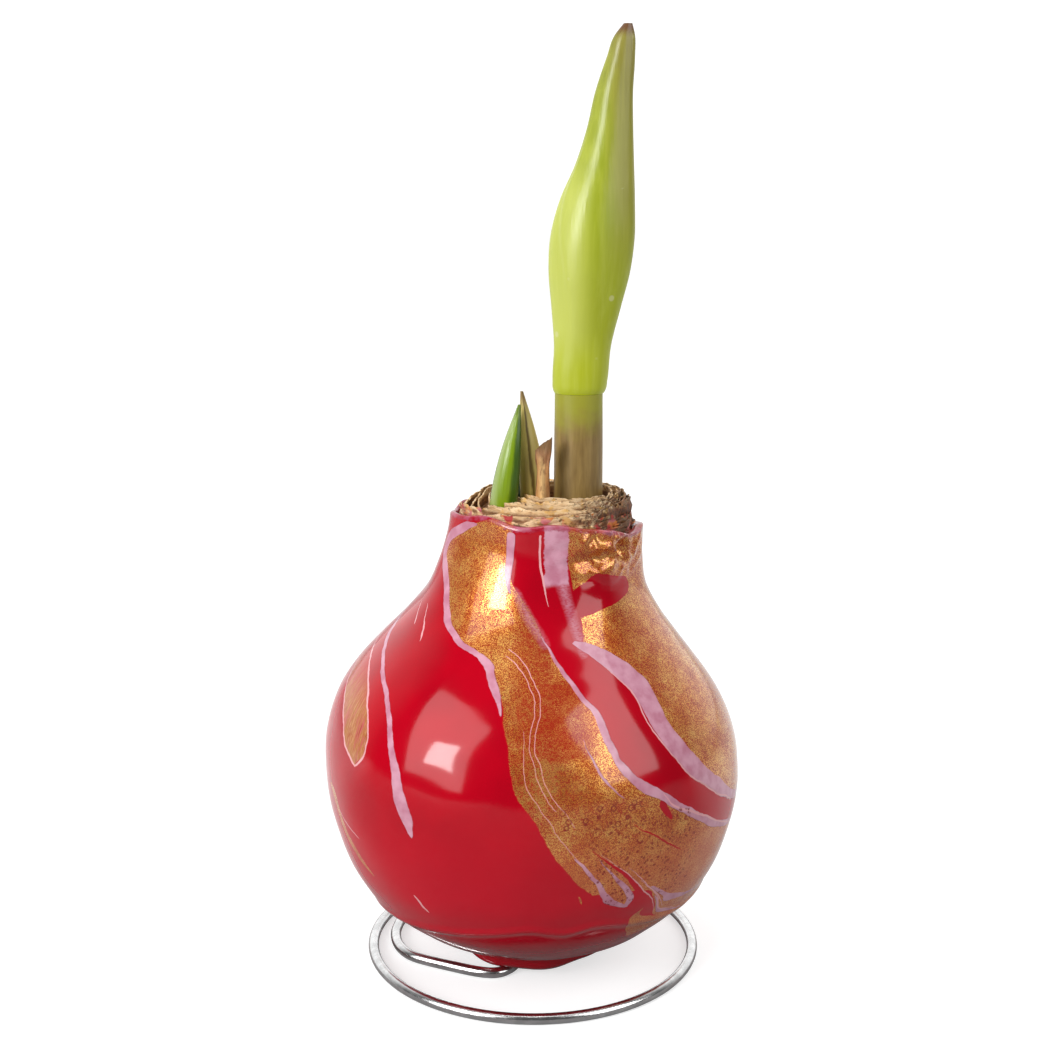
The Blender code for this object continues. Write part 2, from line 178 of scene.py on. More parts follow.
def skin(rows, steps, place):
    """A sheet rolled into a tube: place(angle, row) gives each point, in millimetres."""
    bm = bmesh.new()
    bmesh.ops.create_grid(bm, x_segments=steps, y_segments=rows - 1, size=1.0)
    for v in bm.verts:
        column = round((v.co.x + 1.0) * 0.5 * steps) % steps
        row = round((v.co.y + 1.0) * 0.5 * (rows - 1))
        v.co = place(TURN * column / steps, row)
    bmesh.ops.remove_doubles(bm, verts=bm.verts, dist=1e-4)
    return bm


def close_ends(bm):
    """Caps the open rims of a tube."""
    open_edges = [e for e in bm.edges if e.is_boundary]
    bmesh.ops.holes_fill(bm, edges=open_edges, sides=0)


def finish(name, bm, look, smooth_angle=50.0):
    """Turns a bmesh in millimetres round the spike into a named object in the frame."""
    bmesh.ops.recalc_face_normals(bm, faces=bm.faces)
    bmesh.ops.translate(bm, vec=(AXIS_X, AXIS_Y, 0.0), verts=bm.verts)
    bmesh.ops.scale(bm, vec=(MM, MM, MM), verts=bm.verts)
    mesh = bpy.data.meshes.new(name)
    bm.to_mesh(mesh)
    bm.free()
    mesh.shade_smooth()
    mesh.set_sharp_from_angle(angle=math.radians(smooth_angle))
    mesh.materials.append(look)
    made = bpy.data.objects.new(name, mesh)
    bpy.context.collection.objects.link(made)
    return made


def joined(parts):
    """One bmesh of several."""
    whole = bmesh.new()
    for part in parts:
        mesh = bpy.data.meshes.new("part")
        part.to_mesh(mesh)
        part.free()
        whole.from_mesh(mesh)
        bpy.data.meshes.remove(mesh)
    return whole


def ordered(bm):
    """Puts the points and faces in one lasting order, since thickening a sheet adds its edge in any."""
    way = Vector((1.0, 0.618, 0.271))
    bm.verts.sort(key=lambda v: v.co.dot(way))
    bm.faces.sort(key=lambda f: f.calc_center_median().dot(way))
    return bm


def mark(bm, name, read):
    """Writes a number on every point of a piece, for its material to read."""
    layer = bm.verts.layers.float.new(name)
    for v in bm.verts:
        v[layer] = read(v.co)


def dress(piece, slot, *nodes):
    """Puts a finished piece in the place of its CAD nodes."""
    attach(piece, "root")
    if nodes:
        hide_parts(*nodes)


# Materials

def colour(red, green, blue):
    """A linear colour from its screen values of 0 to 255."""
    def linear(c):
        c = c / 255.0
        return c / 12.92 if c <= 0.04045 else ((c + 0.055) / 1.055) ** 2.4
    return (linear(red), linear(green), linear(blue), 1.0)


class Value:
    """A node's output. Arithmetic on it adds Math nodes beside its own."""

    def __init__(self, nodes, socket):
        self.nodes = nodes
        self.socket = socket

    def math(self, operation, *values, clamp=False):
        settings = {"operation": operation, "use_clamp": clamp}
        return self.nodes.add("ShaderNodeMath", settings, values)

    def __add__(self, other):
        return self.math("ADD", self, other)

    def __radd__(self, other):
        return self.math("ADD", other, self)

    def __sub__(self, other):
        return self.math("SUBTRACT", self, other)

    def __rsub__(self, other):
        return self.math("SUBTRACT", other, self)

    def __mul__(self, other):
        return self.math("MULTIPLY", self, other)

    def __rmul__(self, other):
        return self.math("MULTIPLY", other, self)

    def __truediv__(self, other):
        return self.math("DIVIDE", self, other)

    def __abs__(self):
        return self.math("ABSOLUTE", self)

    def most(self, other):
        return self.math("MAXIMUM", self, other)

    def wrapped(self, low, high):
        return self.math("WRAP", self, high, low)

    def fade(self, low, high, first=0.0, last=1.0):
        """From first at low to last at high, smooth between. Low may be the higher number."""
        if low > high:
            return self.fade(high, low, last, first)
        settings = {"interpolation_type": "SMOOTHSTEP"}
        inputs = {0: self, 1: low, 2: high, 3: first, 4: last}
        return self.nodes.add("ShaderNodeMapRange", settings, inputs)


class Nodes:
    """The nodes of a material, or of the surroundings."""

    def __init__(self, tree):
        self.tree = tree

    def put(self, socket, value):
        """Links a value to a socket, or sets the socket to a plain number or colour."""
        if isinstance(value, Value):
            self.tree.links.new(value.socket, socket)
        else:
            socket.default_value = value

    def add(self, kind, settings=None, inputs=(), output=0):
        """Makes a node: its settings first, then its sockets by name or place. Gives one output."""
        node = self.tree.nodes.new(kind)
        for key, value in (settings or {}).items():
            if key == "stops":
                self.set_stops(node.color_ramp, value)
            elif key == "curve":
                self.set_curve(node.mapping, value)
            else:
                setattr(node, key, value)
        pairs = inputs.items() if isinstance(inputs, dict) else enumerate(inputs)
        for key, value in pairs:
            self.put(node.inputs[key], value)
        return Value(self, node.outputs[output])

    @staticmethod
    def set_stops(ramp, stops):
        """Gives a colour ramp its places and colours."""
        while len(ramp.elements) < len(stops):
            ramp.elements.new(0.5)
        for element, (place, shade) in zip(ramp.elements, stops):
            element.position = place
            element.color = shade

    @staticmethod
    def set_curve(mapping, points):
        """Gives a curve its points."""
        curve = mapping.curves[0]
        while len(curve.points) < len(points):
            curve.points.new(0.5, 0.5)
        for point, (x, y) in zip(curve.points, points):
            point.location = (x, y)
            point.handle_type = "AUTO_CLAMPED"
        mapping.update()

    def part(self, vector, axis):
        """One number of a vector."""
        return self.add("ShaderNodeSeparateXYZ", None, (vector,), axis)


class Look(Nodes):
    """One procedural material."""

    def __init__(self, name, **sockets):
        self.material = bpy.data.materials.new(name)
        self.material.use_nodes = True
        super().__init__(self.material.node_tree)
        self.shader = self.tree.nodes["Principled BSDF"]
        self.set(**sockets)
        place = self.add("ShaderNodeTexCoord", output="Object")
        shift = (-AXIS_X * MM, -AXIS_Y * MM, 0.0)
        centred = self.add("ShaderNodeVectorMath", {"operation": "ADD"}, (place, shift))
        self.at = self.add("ShaderNodeVectorMath", {"operation": "SCALE"}, {0: centred, 3: 1 / MM})

    def set(self, **sockets):
        """Sets or links the shader's sockets, and gives the material."""
        for key, value in sockets.items():
            self.put(self.shader.inputs[key.replace("_", " ").title().replace("Ior", "IOR")], value)
        return self.material

    def axes(self, names):
        """The coordinates named, in millimetres round the spike."""
        return [self.part(self.at, name) for name in names]

    def attribute(self, name):
        """A number that the piece carries on its points."""
        return self.add("ShaderNodeAttribute", {"attribute_name": name}, output="Fac")

    def spot(self, x, y):
        """A place to read a pattern at."""
        return self.add("ShaderNodeCombineXYZ", None, (x, y, 0.0))

    def noise(self, size, detail=2.0, roughness=0.5, stretch=(1.0, 1.0, 1.0), at=None):
        """Noise between 0 and 1 with grains of that size in millimetres."""
        scaled = self.add("ShaderNodeVectorMath", {"operation": "MULTIPLY"},
                          (at or self.at, tuple(s / size for s in stretch)))
        return self.add("ShaderNodeTexNoise", None, {"Vector": scaled, "Scale": 1.0, "Detail": detail,
                                                      "Roughness": roughness})

    def cells(self, size, output="Distance"):
        """How far the nearest of many scattered points is, or that point's own colour."""
        scaled = self.add("ShaderNodeVectorMath", {"operation": "SCALE"}, {0: self.at, 3: 1.0 / size})
        return self.add("ShaderNodeTexVoronoi", None, {"Vector": scaled, "Scale": 1.0}, output)

    def mix(self, factor, first, second):
        """The first colour where the factor is 0, the second where it is 1."""
        return self.add("ShaderNodeMix", {"data_type": "RGBA"}, {0: factor, 6: first, 7: second}, 2)

    def ramp(self, value, *stops):
        """The colour that a value has between the stops."""
        return self.add("ShaderNodeValToRGB", {"stops": stops}, (value,))

    def bump(self, height, depth, strength=1.0, normal=None):
        """A bump whose height value of 1 stands depth millimetres proud."""
        inputs = {"Strength": strength, "Distance": depth * MM, "Height": height}
        if normal:
            inputs["Normal"] = normal
        return self.add("ShaderNodeBump", None, inputs)


# The marbled wax

class Marble:
    """Poured strokes and bands, told by points of height and degrees round the bulb."""

    HEIGHT_SPAN = 100.0
    ANGLE_SPAN = 720.0
    WIDTH_SPAN = 80.0
    OUTSIDE = 20.0

    def __init__(self, look, angle, height):
        self.look = look
        self.angle = angle
        self.height = height / self.HEIGHT_SPAN

    def reading(self, heights, values):
        """A value from 0 to 1 that changes with height."""
        points = [(h / self.HEIGHT_SPAN, float(v)) for h, v in zip(heights, values)]
        return self.look.add("ShaderNodeFloatCurve", {"curve": points}, {1: self.height})

    def past(self, heights, angles, low):
        """Degrees from a line to here, counted up from low."""
        line = self.reading(heights, np.array(angles) / self.ANGLE_SPAN)
        return line.math("MULTIPLY_ADD", line, -self.ANGLE_SPAN, self.angle).wrapped(low, low + 360.0)

    def across(self, heights, angles, widths):
        """Half widths in degrees for strokes of these half widths in millimetres, square to their run."""
        radius = interpolate(OUTLINE, heights)
        rise = np.hypot(1.0, np.gradient(radius, heights))
        slope = radius * np.gradient(np.radians(angles), heights) / rise
        return np.degrees(widths / radius * np.hypot(1.0, slope))

    def stroke(self, points, soft=0.25):
        """A line of wax: 1 on it, 0 off it."""
        points = sorted(points)
        low, high = points[0][0], points[-1][0]
        heights = np.linspace(low, high, max(4, min(20, round((high - low) / 1.5))))
        angles = interpolate([(p[0], p[1]) for p in points], heights)
        widths = np.interp(heights, [p[0] for p in points], [p[2] for p in points])
        half = self.across(heights, angles, widths)
        half = np.clip(np.concatenate([[-self.OUTSIDE], half, [-self.OUTSIDE]]), -self.OUTSIDE, 55.0)
        ends = np.concatenate([[low - 0.8], heights, [high + 0.8]])
        reading = self.reading(ends, (half + self.OUTSIDE) / self.WIDTH_SPAN)
        reach = reading.math("MULTIPLY_ADD", reading, self.WIDTH_SPAN / soft, -self.OUTSIDE / soft)
        away = abs(self.past(heights, angles, -180.0))
        return away.math("MULTIPLY_ADD", away, -1.0 / soft, reach, clamp=True)

    def band(self, start, end, soft=0.3, low=0.0, high=100.0):
        """The wax between two edges, from the start edge round to the end edge."""
        start = sorted(start)
        end = sorted(end)
        heights = np.linspace(low, high, round((high - low) / 2.2))
        first = interpolate(start, heights)
        wide = np.maximum(interpolate(end, heights) - first, 0.0)
        ends = heights
        if low > 0.0:
            wide = np.concatenate([[0.0], wide])
            ends = np.concatenate([[low - 0.5], ends])
        if high < 100.0:
            wide = np.concatenate([wide, [0.0]])
            ends = np.concatenate([ends, [high + 0.5]])
        past = self.past(heights, first, 0.0)
        reading = self.reading(ends, wide / self.ANGLE_SPAN)
        reach = reading * (self.ANGLE_SPAN / soft)
        inside = past.math("MULTIPLY_ADD", past, -1.0 / soft, reach, clamp=True)
        return inside * past.math("MULTIPLY", past, 1.0 / soft, clamp=True)


# Edges between the poured colours: height and degrees round, from the rim down
GOLD_LEFT = [
    (100, 246), (97.7, 228), (95, 211), (91.7, 203), (88, 209), (85, 214.5), (81, 222), (78.5, 228),
    (76.5, 236), (75, 244), (73.8, 251), (71.4, 255.5), (68.7, 258.5), (65, 260.5), (61.3, 262),
    (55.5, 264), (51, 266), (46.5, 270), (41.4, 273.5), (35.8, 278.5), (32, 282.5), (30.5, 285.5),
]
GOLD_LOWER_LEFT = [
    (41.4, 273.5), (37.7, 277.3), (32.6, 282.1), (31, 285), (30, 299.5), (27.7, 303.5), (24.3, 308),
    (20.8, 310), (17.8, 318), (10, 322),
]
STRIPE_LEFT = [
    (100, 257), (91, 257), (88, 257.5), (84.4, 264), (81.5, 269.5), (77.2, 274.5), (74.5, 278),
    (70.9, 282), (68, 286), (65.5, 289.5), (59.1, 292), (55.8, 294), (52.3, 297.5), (49.6, 302),
    (47.4, 307), (44.6, 312), (41.3, 320), (37.1, 331), (34, 345), (31, 366),
]
STRIPE_RIGHT = [
    (100, 289.5), (89, 290), (86, 291), (83, 293), (80, 293.5), (77, 292.5), (74.6, 293), (72.2, 299),
    (68.3, 307), (65.3, 309.5), (62.5, 310), (59.1, 312), (55, 315.5), (52.2, 318), (48.4, 323.5),
    (44.3, 331), (40.1, 341), (36, 354), (31, 366),
]
GOLD_FAR = [(100, 392), (90, 396), (78, 404), (66, 408), (50, 425), (35, 440), (22, 436), (10, 420)]
LOW_GOLD_LEFT = [(24.2, 303.4), (21.6, 300.3), (18.7, 301), (15.6, 304)]
LOW_GOLD_RIGHT = [(24.2, 303.6), (22, 305), (19.4, 315.2), (18, 330), (15.6, 345)]
BACK_GOLD_LEFT = [(100, 100), (86, 104), (70, 96), (58, 88), (46, 96), (36, 108), (24, 112), (10, 116)]
BACK_GOLD_RIGHT = [(100, 126), (86, 134), (70, 136), (58, 118), (46, 114), (36, 128), (24, 131), (10, 122)]

HAZE_LEFT = [(92, 277), (86, 282), (82, 285), (77, 287), (73, 289)]
HAZE_RIGHT = [(92, 289), (86, 290), (82, 292), (77, 293), (73, 293)]
FAINT_HAZE_LEFT = [(88, 256), (85, 258), (82, 262), (79, 267), (76, 272)]
FAINT_HAZE_RIGHT = [(88, 259), (85, 265), (82, 270), (79, 275), (76, 277)]
RED_PATCH_LEFT = [(88, 302), (86.5, 293), (85, 290), (83, 289), (81, 292)]
RED_PATCH_RIGHT = [(88, 311), (87.2, 322), (86, 328), (84.6, 331), (83.2, 326), (82.2, 312), (81, 297)]
TEARDROP_LEFT = [(72, 174), (67, 176), (61.5, 194), (58.2, 202.2), (54.1, 208.5), (51.5, 215)]
TEARDROP_RIGHT = [
    (72, 175), (69.7, 184.7), (66.5, 202.3), (62.2, 213.2), (56.8, 218.9), (53.3, 218.4), (51.5, 215.5),
]

# Strokes: height, degrees round and half width in millimetres
LILAC_STROKES = {
    "left of the gold": [
        (97.7, 226, 0.9), (95, 210, 1.2), (91.7, 202, 1.2), (88, 208, 1.0), (85, 214, 0.9), (81, 221.5, 0.8),
        (78.5, 227, 0.8), (76.5, 235, 0.7), (75, 243, 0.7), (73.8, 250, 0.75), (71.4, 254.5, 0.9),
        (68.7, 257.5, 0.8), (65, 259.8, 0.1)],
    "right of the gold": [(97, 256.5, 0.9), (91, 256, 0.9), (88, 256, 0.7), (85.5, 257.5, 0.1)],
    "middle run": [
        (78, 273, 0.1), (74.5, 278, 0.35), (70.9, 282, 0.5), (68, 286, 0.6), (65.5, 289.2, 0.7),
        (62, 291, 0.9), (59.1, 292, 0.9), (55.8, 294.5, 0.8), (52.3, 298.5, 0.9), (49.6, 303, 1.0),
        (47.4, 308, 0.9), (44.6, 313, 0.8), (41.3, 320, 0.8), (37.1, 331, 0.8), (33, 350, 0.5),
        (30, 370, 0.1)],
    "wide run": [
        (76.6, 289, 0.7), (74.8, 296, 1.5), (71.8, 303.5, 2.2), (68, 309, 2.8), (65, 310.2, 2.6),
        (62, 310.8, 2.5), (58.7, 312.8, 2.3), (54.5, 316.5, 2.3), (50.5, 321, 2.0), (46.1, 329, 1.6),
        (41.3, 339, 1.1), (38.5, 352, 0.6), (36, 372, 0.1)],
    "long drop": [
        (86, 140, 0.2), (80, 160, 0.4), (75, 181, 0.55), (71.4, 196, 0.6), (68.8, 207, 0.6), (65.3, 218, 0.6),
        (59.8, 226.5, 0.65), (54.2, 230.8, 1.0), (49.5, 233.5, 1.55), (45, 235.6, 1.6), (42.5, 236.8, 0.9),
        (40.7, 237.5, 0.0)],
    "wedge": [(61.3, 284.5, 0.05), (55.7, 287, 0.35), (52.7, 289.9, 0.35), (49.7, 294.1, 0.1)],
    "left of the finger": [
        (39.0, 280.3, 0.1), (37.4, 282.2, 0.35), (35.1, 284.5, 0.5), (32.2, 287.8, 0.6), (28.2, 291.6, 0.75),
        (26.6, 294.2, 0.9), (26.0, 296.4, 0.6)],
    "right of the finger": [(38.0, 287.2, 0.08), (34.0, 291.6, 0.3), (31.3, 294.6, 0.6), (28.9, 297.2, 0.85),
                            (27.1, 297.8, 0.9), (26.0, 296.8, 0.6)],
    "low swirl": [(29.5, 304.5, 0.15), (28.9, 305.7, 0.4), (26.7, 309.4, 0.6), (24.9, 314, 0.7),
                  (23.0, 320.6, 0.7), (22.2, 327, 0.5), (21.6, 336, 0.1)],
    "second low swirl": [(26.5, 306.5, 0.1), (24.8, 308.5, 0.35), (20.4, 315.8, 0.5), (19.4, 320.4, 0.4),
                         (18.8, 326, 0.1)],
    "far edge": [(100, 391, 0.8), (90, 396, 1.1), (78, 404, 0.8), (66, 408, 1.3), (50, 425, 0.7),
                 (35, 440, 1.0), (24, 438, 0.2)],
    "back drop": [(90, 70, 0.3), (76, 74, 0.5), (62, 66, 0.6), (50, 64, 1.3), (44, 63, 1.7), (39, 62.5, 0.1)],
    "back edge": [(98, 101, 0.6), (86, 104, 0.9), (70, 96, 0.7), (58, 88, 1.2), (46, 96, 0.9),
                  (36, 108, 0.5), (30, 110, 0.1)],
    "back run": [(80, 150, 0.1), (66, 152, 0.5), (52, 142, 0.7), (38, 150, 1.2), (30, 153, 1.3),
                 (26, 154, 0.2)],
}
PINK_LINES = {
    "teardrop right": [(71.5, 172, 0.1), (69.7, 184.7, 0.26), (66.5, 202.3, 0.26), (62.2, 213.2, 0.26),
                       (56.8, 218.9, 0.28), (53.3, 218.4, 0.3), (51.4, 215.4, 0.3)],
    "teardrop left": [(67, 176, 0.15), (65.3, 181.7, 0.24), (63.5, 186.7, 0.26), (61.5, 193.9, 0.26),
                      (58.2, 202.2, 0.26), (54.1, 208.5, 0.3), (51.4, 215, 0.3)],
    "first scratch": [(80.2, 196.4, 0.06), (77.7, 203, 0.2), (76.3, 206, 0.05)],
    "second scratch": [(80.5, 205.2, 0.06), (76.6, 214.2, 0.22), (74.6, 217, 0.06)],
    "line in the gold": [
        (75.8, 259.3, 0.1), (73.8, 265.7, 0.13), (71.1, 269.3, 0.13), (66.7, 271.9, 0.13),
        (62.7, 270.5, 0.12), (60.6, 269.9, 0.13), (57.1, 271.3, 0.13), (52.6, 273.3, 0.12),
        (47.8, 278.3, 0.12), (45.3, 280.5, 0.1)],
    "line beside it": [
        (74.8, 258.3, 0.1), (72.8, 264.7, 0.12), (70.2, 268.0, 0.12), (66.2, 270.2, 0.12),
        (62.7, 269.1, 0.12), (60.6, 268.5, 0.12), (57.1, 269.9, 0.12), (52.6, 271.9, 0.12),
        (48.6, 275.5, 0.12)],
    "line low in the gold": [
        (63.1, 267, 0.08), (58.5, 267.2, 0.11), (53.6, 268.1, 0.12), (48.6, 272, 0.12), (41.4, 278.3, 0.12),
        (36.5, 283.5, 0.1)],
    "neck line": [(97, 273.6, 0.22), (90, 274, 0.25), (87.1, 275.8, 0.22), (83, 278, 0.05)],
    "under the wide run": [(49.1, 305.9, 0.08), (45.8, 310.2, 0.25), (42.1, 319.5, 0.28), (34.4, 341.9, 0.15),
                           (32, 352, 0.05)],
    "edge of the wide run": [
        (72.2, 297.6, 0.05), (68.3, 304, 0.22), (65.3, 305.8, 0.22), (62.5, 306.2, 0.2), (59.1, 308.6, 0.22),
        (55, 312.3, 0.22), (52.2, 315, 0.22), (48.4, 320.8, 0.25), (44.3, 328.8, 0.25), (40.1, 339, 0.2)],
    "left low line": [(39.5, 205.4, 0.08), (37.6, 211, 0.2), (35.9, 216.9, 0.08)],
    "low dash": [(27.4, 235.3, 0.1), (25.6, 237, 0.4), (23.9, 238.7, 0.1)],
    "line by the red streak": [(39.3, 287.4, 0.06), (34.7, 294.2, 0.13), (31, 299.4, 0.17),
                               (25.7, 305.8, 0.17), (21.5, 309.8, 0.06)],
    "swirl line": [(35.3, 295.6, 0.06), (31.5, 301, 0.15), (27.2, 306.8, 0.2), (22.6, 312.8, 0.08)],
    "second swirl line": [(31.8, 300, 0.06), (29, 304.2, 0.13), (25.9, 308, 0.18), (21.2, 315, 0.15),
                          (20.1, 320.4, 0.06)],
    "back line": [(74, 30, 0.1), (60, 24, 0.2), (48, 30, 0.25), (40, 40, 0.1)],
    "back scratch": [(66, 165, 0.06), (60, 170, 0.2), (55, 172, 0.06)],
}
GOLD_DASHES = {
    "left low strip": [(44, 200, 0.1), (42.6, 202.1, 0.9), (35.4, 208.1, 1.2), (30.1, 215.1, 0.7),
                       (28, 219, 0.1)],
    "small dash": [(30.4, 282, 0.1), (29.3, 282.6, 0.35), (28.2, 283.2, 0.1)],
    "finger": [(36, 287, 1.2), (32, 291.2, 2.0), (29, 294.2, 1.8), (27.3, 295.6, 1.1), (26.5, 296.2, 0.4)],
}
RED_DASHES = {
    "between the finger and the gold": [
        (40.2, 284.9, 0.08), (37.5, 289.2, 0.25), (34.7, 293.4, 0.4), (31.9, 297.2, 0.6), (27.7, 302.1, 0.9),
        (24.3, 306.2, 0.9), (21.5, 308.3, 0.4)],
    "crease": [(44.5, 296.3, 0.08), (41.8, 301.6, 0.22), (37.7, 309.2, 0.22), (35.8, 313.5, 0.06)],
    "knot": [(66.4, 187, 0.1), (64.8, 190.5, 0.35), (63.2, 188, 0.1)],
    "knot across": [(65.6, 195, 0.1), (64.6, 190.5, 0.3), (62.6, 185.5, 0.1)],
    "hook": [(47.8, 305.4, 0.2), (46.7, 306, 0.95), (45.4, 307, 1.05), (43.9, 308.2, 0.6),
             (43.2, 308.7, 0.1)],
}


class Wax(Look):
    """The marbled wax: red, metal gold and lilac poured over each other."""

    def __init__(self):
        super().__init__("marbled_wax", coat_weight=1.0, coat_roughness=0.095, coat_ior=1.45,
                         specular_ior_level=0.0)
        x, y, self.height = self.axes("XYZ")
        self.plain_angle = y.math("ARCTAN2", y, x) * math.degrees(1.0)
        wobble = (self.noise(6.0) - 0.5) * 2.2 + (self.noise(1.0) - 0.5) * 0.35
        drift = (self.noise(4.0) - 0.5) * 1.0
        self.marble = Marble(self, self.plain_angle + wobble, self.height + drift)
        ragged = (self.noise(2.2, 4.0, 0.6) - 0.5) * 6.0
        self.ragged_angle = self.plain_angle + ragged
        self.ragged_height = self.height + ragged * 0.3

    def strokes(self, lines, soft=0.25):
        """1 on any of the lines, 0 off them."""
        mask = None
        for points in lines.values():
            line = self.marble.stroke(points, soft)
            mask = mask.most(line) if mask else line
        return mask

    def patch(self, low, high, start, end, reach=2.0):
        """A soft-edged area between two heights and two angles."""
        along = (self.ragged_angle - start).wrapped(-90.0, 270.0)
        wide = end - start
        return (along.fade(0.0, reach) * along.fade(wide, wide - reach)
                * self.ragged_height.fade(low, low + 1.2) * self.ragged_height.fade(high + 1.2, high))

    def make(self):
        """The finished material, from the lowest colour up to the bubbles and the rim."""
        marble = self.marble
        gold = marble.band(GOLD_LEFT, GOLD_FAR, low=30.8)
        gold = gold.most(marble.band(GOLD_LOWER_LEFT, GOLD_FAR, high=38.0))
        gold = gold * (1.0 - marble.band(STRIPE_LEFT, STRIPE_RIGHT))
        gold = gold.most(marble.band(BACK_GOLD_LEFT, BACK_GOLD_RIGHT))
        gold = gold * (1.0 - marble.band(RED_PATCH_LEFT, RED_PATCH_RIGHT, low=81.2, high=88.2))
        gold = gold * (1.0 - self.strokes(RED_DASHES))
        gold = gold.most(self.strokes(GOLD_DASHES))
        gold = gold.most(marble.band(LOW_GOLD_LEFT, LOW_GOLD_RIGHT, low=15.6, high=24.2))
        gold = gold * self.ragged_height.fade(14.0, 17.0)

        teardrop = marble.band(TEARDROP_LEFT, TEARDROP_RIGHT, low=51.5, high=71.0)
        streaks = self.noise(1.0, 3.0, 0.6, at=self.spot(self.plain_angle * 1.2, self.height * 0.13))
        brushed = self.noise(1.0, 4.0, 0.6, at=self.spot(self.plain_angle * 0.5, self.height * 3.6))
        haze = marble.band(HAZE_LEFT, HAZE_RIGHT, soft=4.0, low=74.0, high=91.0)
        faint = marble.band(FAINT_HAZE_LEFT, FAINT_HAZE_RIGHT, soft=4.0, low=76.0, high=87.0)
        haze = haze.most(faint * 0.8) * brushed.fade(0.2, 0.65) * 0.85
        haze = haze.most(self.patch(86.3, 99.0, 275.5, 289.5, 0.8) * (brushed.fade(0.1, 0.5) * 0.35 + 0.65))
        lilac = self.strokes(LILAC_STROKES)
        lines = self.strokes(PINK_LINES, soft=0.2)

        red = self.mix(self.noise(13.0, 2.0).fade(0.3, 0.75), colour(178, 0, 24), colour(162, 0, 22))
        red = self.mix(self.height.fade(52.0, 26.0) * 0.8, red, colour(192, 2, 32))
        red = self.mix(self.height.fade(21.0, 14.0) * 0.75, red, colour(150, 2, 18))

        grain = self.add("ShaderNodeSeparateColor", None, (self.cells(0.12, output="Color"),), output=0)
        cloud = self.noise(5.0, 5.0, 0.65)
        fine = self.noise(0.8, 3.0, 0.7)
        leaf_grain = (grain + (cloud - 0.5) * 0.5).fade(0.3, 1.0)
        ground = self.ramp(cloud * 0.5 + fine * 0.5, (0.3, colour(134, 24, 18)), (0.5, colour(158, 44, 28)),
                           (0.72, colour(186, 80, 52)))
        metal_shade = self.mix(cloud.fade(0.3, 0.7), colour(236, 158, 64), colour(255, 210, 110))
        gold_shade = self.mix(leaf_grain, ground, metal_shade)
        mixing = self.patch(60.0, 90.0, 260, 281, 7.0) * (cloud + fine * 0.5).fade(0.55, 0.95)
        mixing = mixing.most((cloud * 0.6 + fine * 0.4).fade(0.54, 0.7) * 0.3)
        mixing = mixing.most(self.patch(57.0, 70.0, 263, 293, 9.0) * (0.3 + fine * 0.7))
        gold_shade = self.mix(mixing, gold_shade, colour(152, 26, 18))

        # Low on the bulb the gold turns less metallic and salmon; the salmon colour is a painted sheen of the
        # soft light
        matt_with_painted_sheen = self.height.fade(46.0, 33.0)
        gold_shade = self.mix(matt_with_painted_sheen * 0.55, gold_shade, colour(202, 106, 68))

        shade = self.mix(gold, red, gold_shade)
        tan = self.ramp(streaks, (0.3, colour(150, 20, 28)), (0.4, colour(186, 96, 84)),
                        (0.48, colour(160, 92, 34)), (0.56, colour(190, 132, 84)),
                        (0.62, colour(150, 60, 30)), (0.72, colour(206, 146, 130)))
        shade = self.mix(teardrop * self.height.fade(70.0, 60.0), shade, tan)
        lilac_shade = self.mix(self.noise(3.0, 3.0).fade(0.3, 0.7),
                               colour(206, 152, 170), colour(184, 118, 138))
        covering = lilac.most(haze)
        shade = self.mix(covering, shade, lilac_shade)
        shade = self.mix(lines, shade, colour(220, 160, 164))

        # Bubbles and specks where the gold thins out
        rings = abs(self.cells(1.9) - 0.3).fade(0.1, 0.04) * self.patch(43.5, 48.5, 276, 300, 1.5)
        specks = self.cells(0.9).fade(0.42, 0.26) * fine.fade(0.44, 0.54)
        specks = specks * self.patch(26.0, 44.5, 281, 322, 5.0)
        blots = rings.most(specks) * gold.most(lilac)
        shade = self.mix(blots * 0.85, shade, colour(120, 14, 22))

        covered = covering.most(lines).most(teardrop * 0.6).most(blots)
        only_gold = gold * (1.0 - covered)
        metal = only_gold * (leaf_grain * 0.82 + 0.12) * (1.0 - mixing * 0.75) * (1.0 - matt_with_painted_sheen * 0.5)
        rough = 0.38 + only_gold * (fine * 0.2 - 0.17)
        rim = (self.attribute("below_rim") + (fine - 0.5) * 1.6).fade(1.1, 0.5)
        rim_shade = self.mix(cloud.fade(0.4, 0.6), colour(170, 96, 120), colour(150, 20, 40))
        shade = self.mix(rim * 0.8, shade, rim_shade)
        metal = metal * (1.0 - rim)
        normal = self.bump(self.noise(11.0, 1.0), 0.35)
        normal = self.bump(lilac, 0.12, normal=normal)
        return self.set(base_color=shade, metallic=metal, roughness=rough, normal=normal)


# The wax's shape

HEM = [
    (180, 15.0), (205, 16.0), (227, 16.8), (240, 18.2), (250, 19.2), (260, 20.4), (268, 21.4), (280, 20.2),
    (288, 21.4), (300, 20.2), (325, 17.5), (350, 18.5), (380, 20.0), (415, 17.0), (450, 19.5), (485, 17.5),
    (510, 19.0), (540, 15.0),
]


@functools.lru_cache(None)
def hem_height(angle):
    """Where the last dip of wax ends low on the bulb, in a wavy line."""
    degrees = math.degrees(angle)
    return float(interpolate(HEM, degrees if degrees >= 180.0 else degrees + 360.0))


def rim_height(angle):
    """How high the wax comes up the neck."""
    tilt = -1.9 * math.cos(angle) - 1.4 * math.sin(angle)
    front = facing(angle, 270.0, 42.0)
    return RIM_Z - 2.2 + tilt + front + 0.45 * math.sin(5 * angle + 1.0) + 0.3 * math.sin(9 * angle + 2.4)


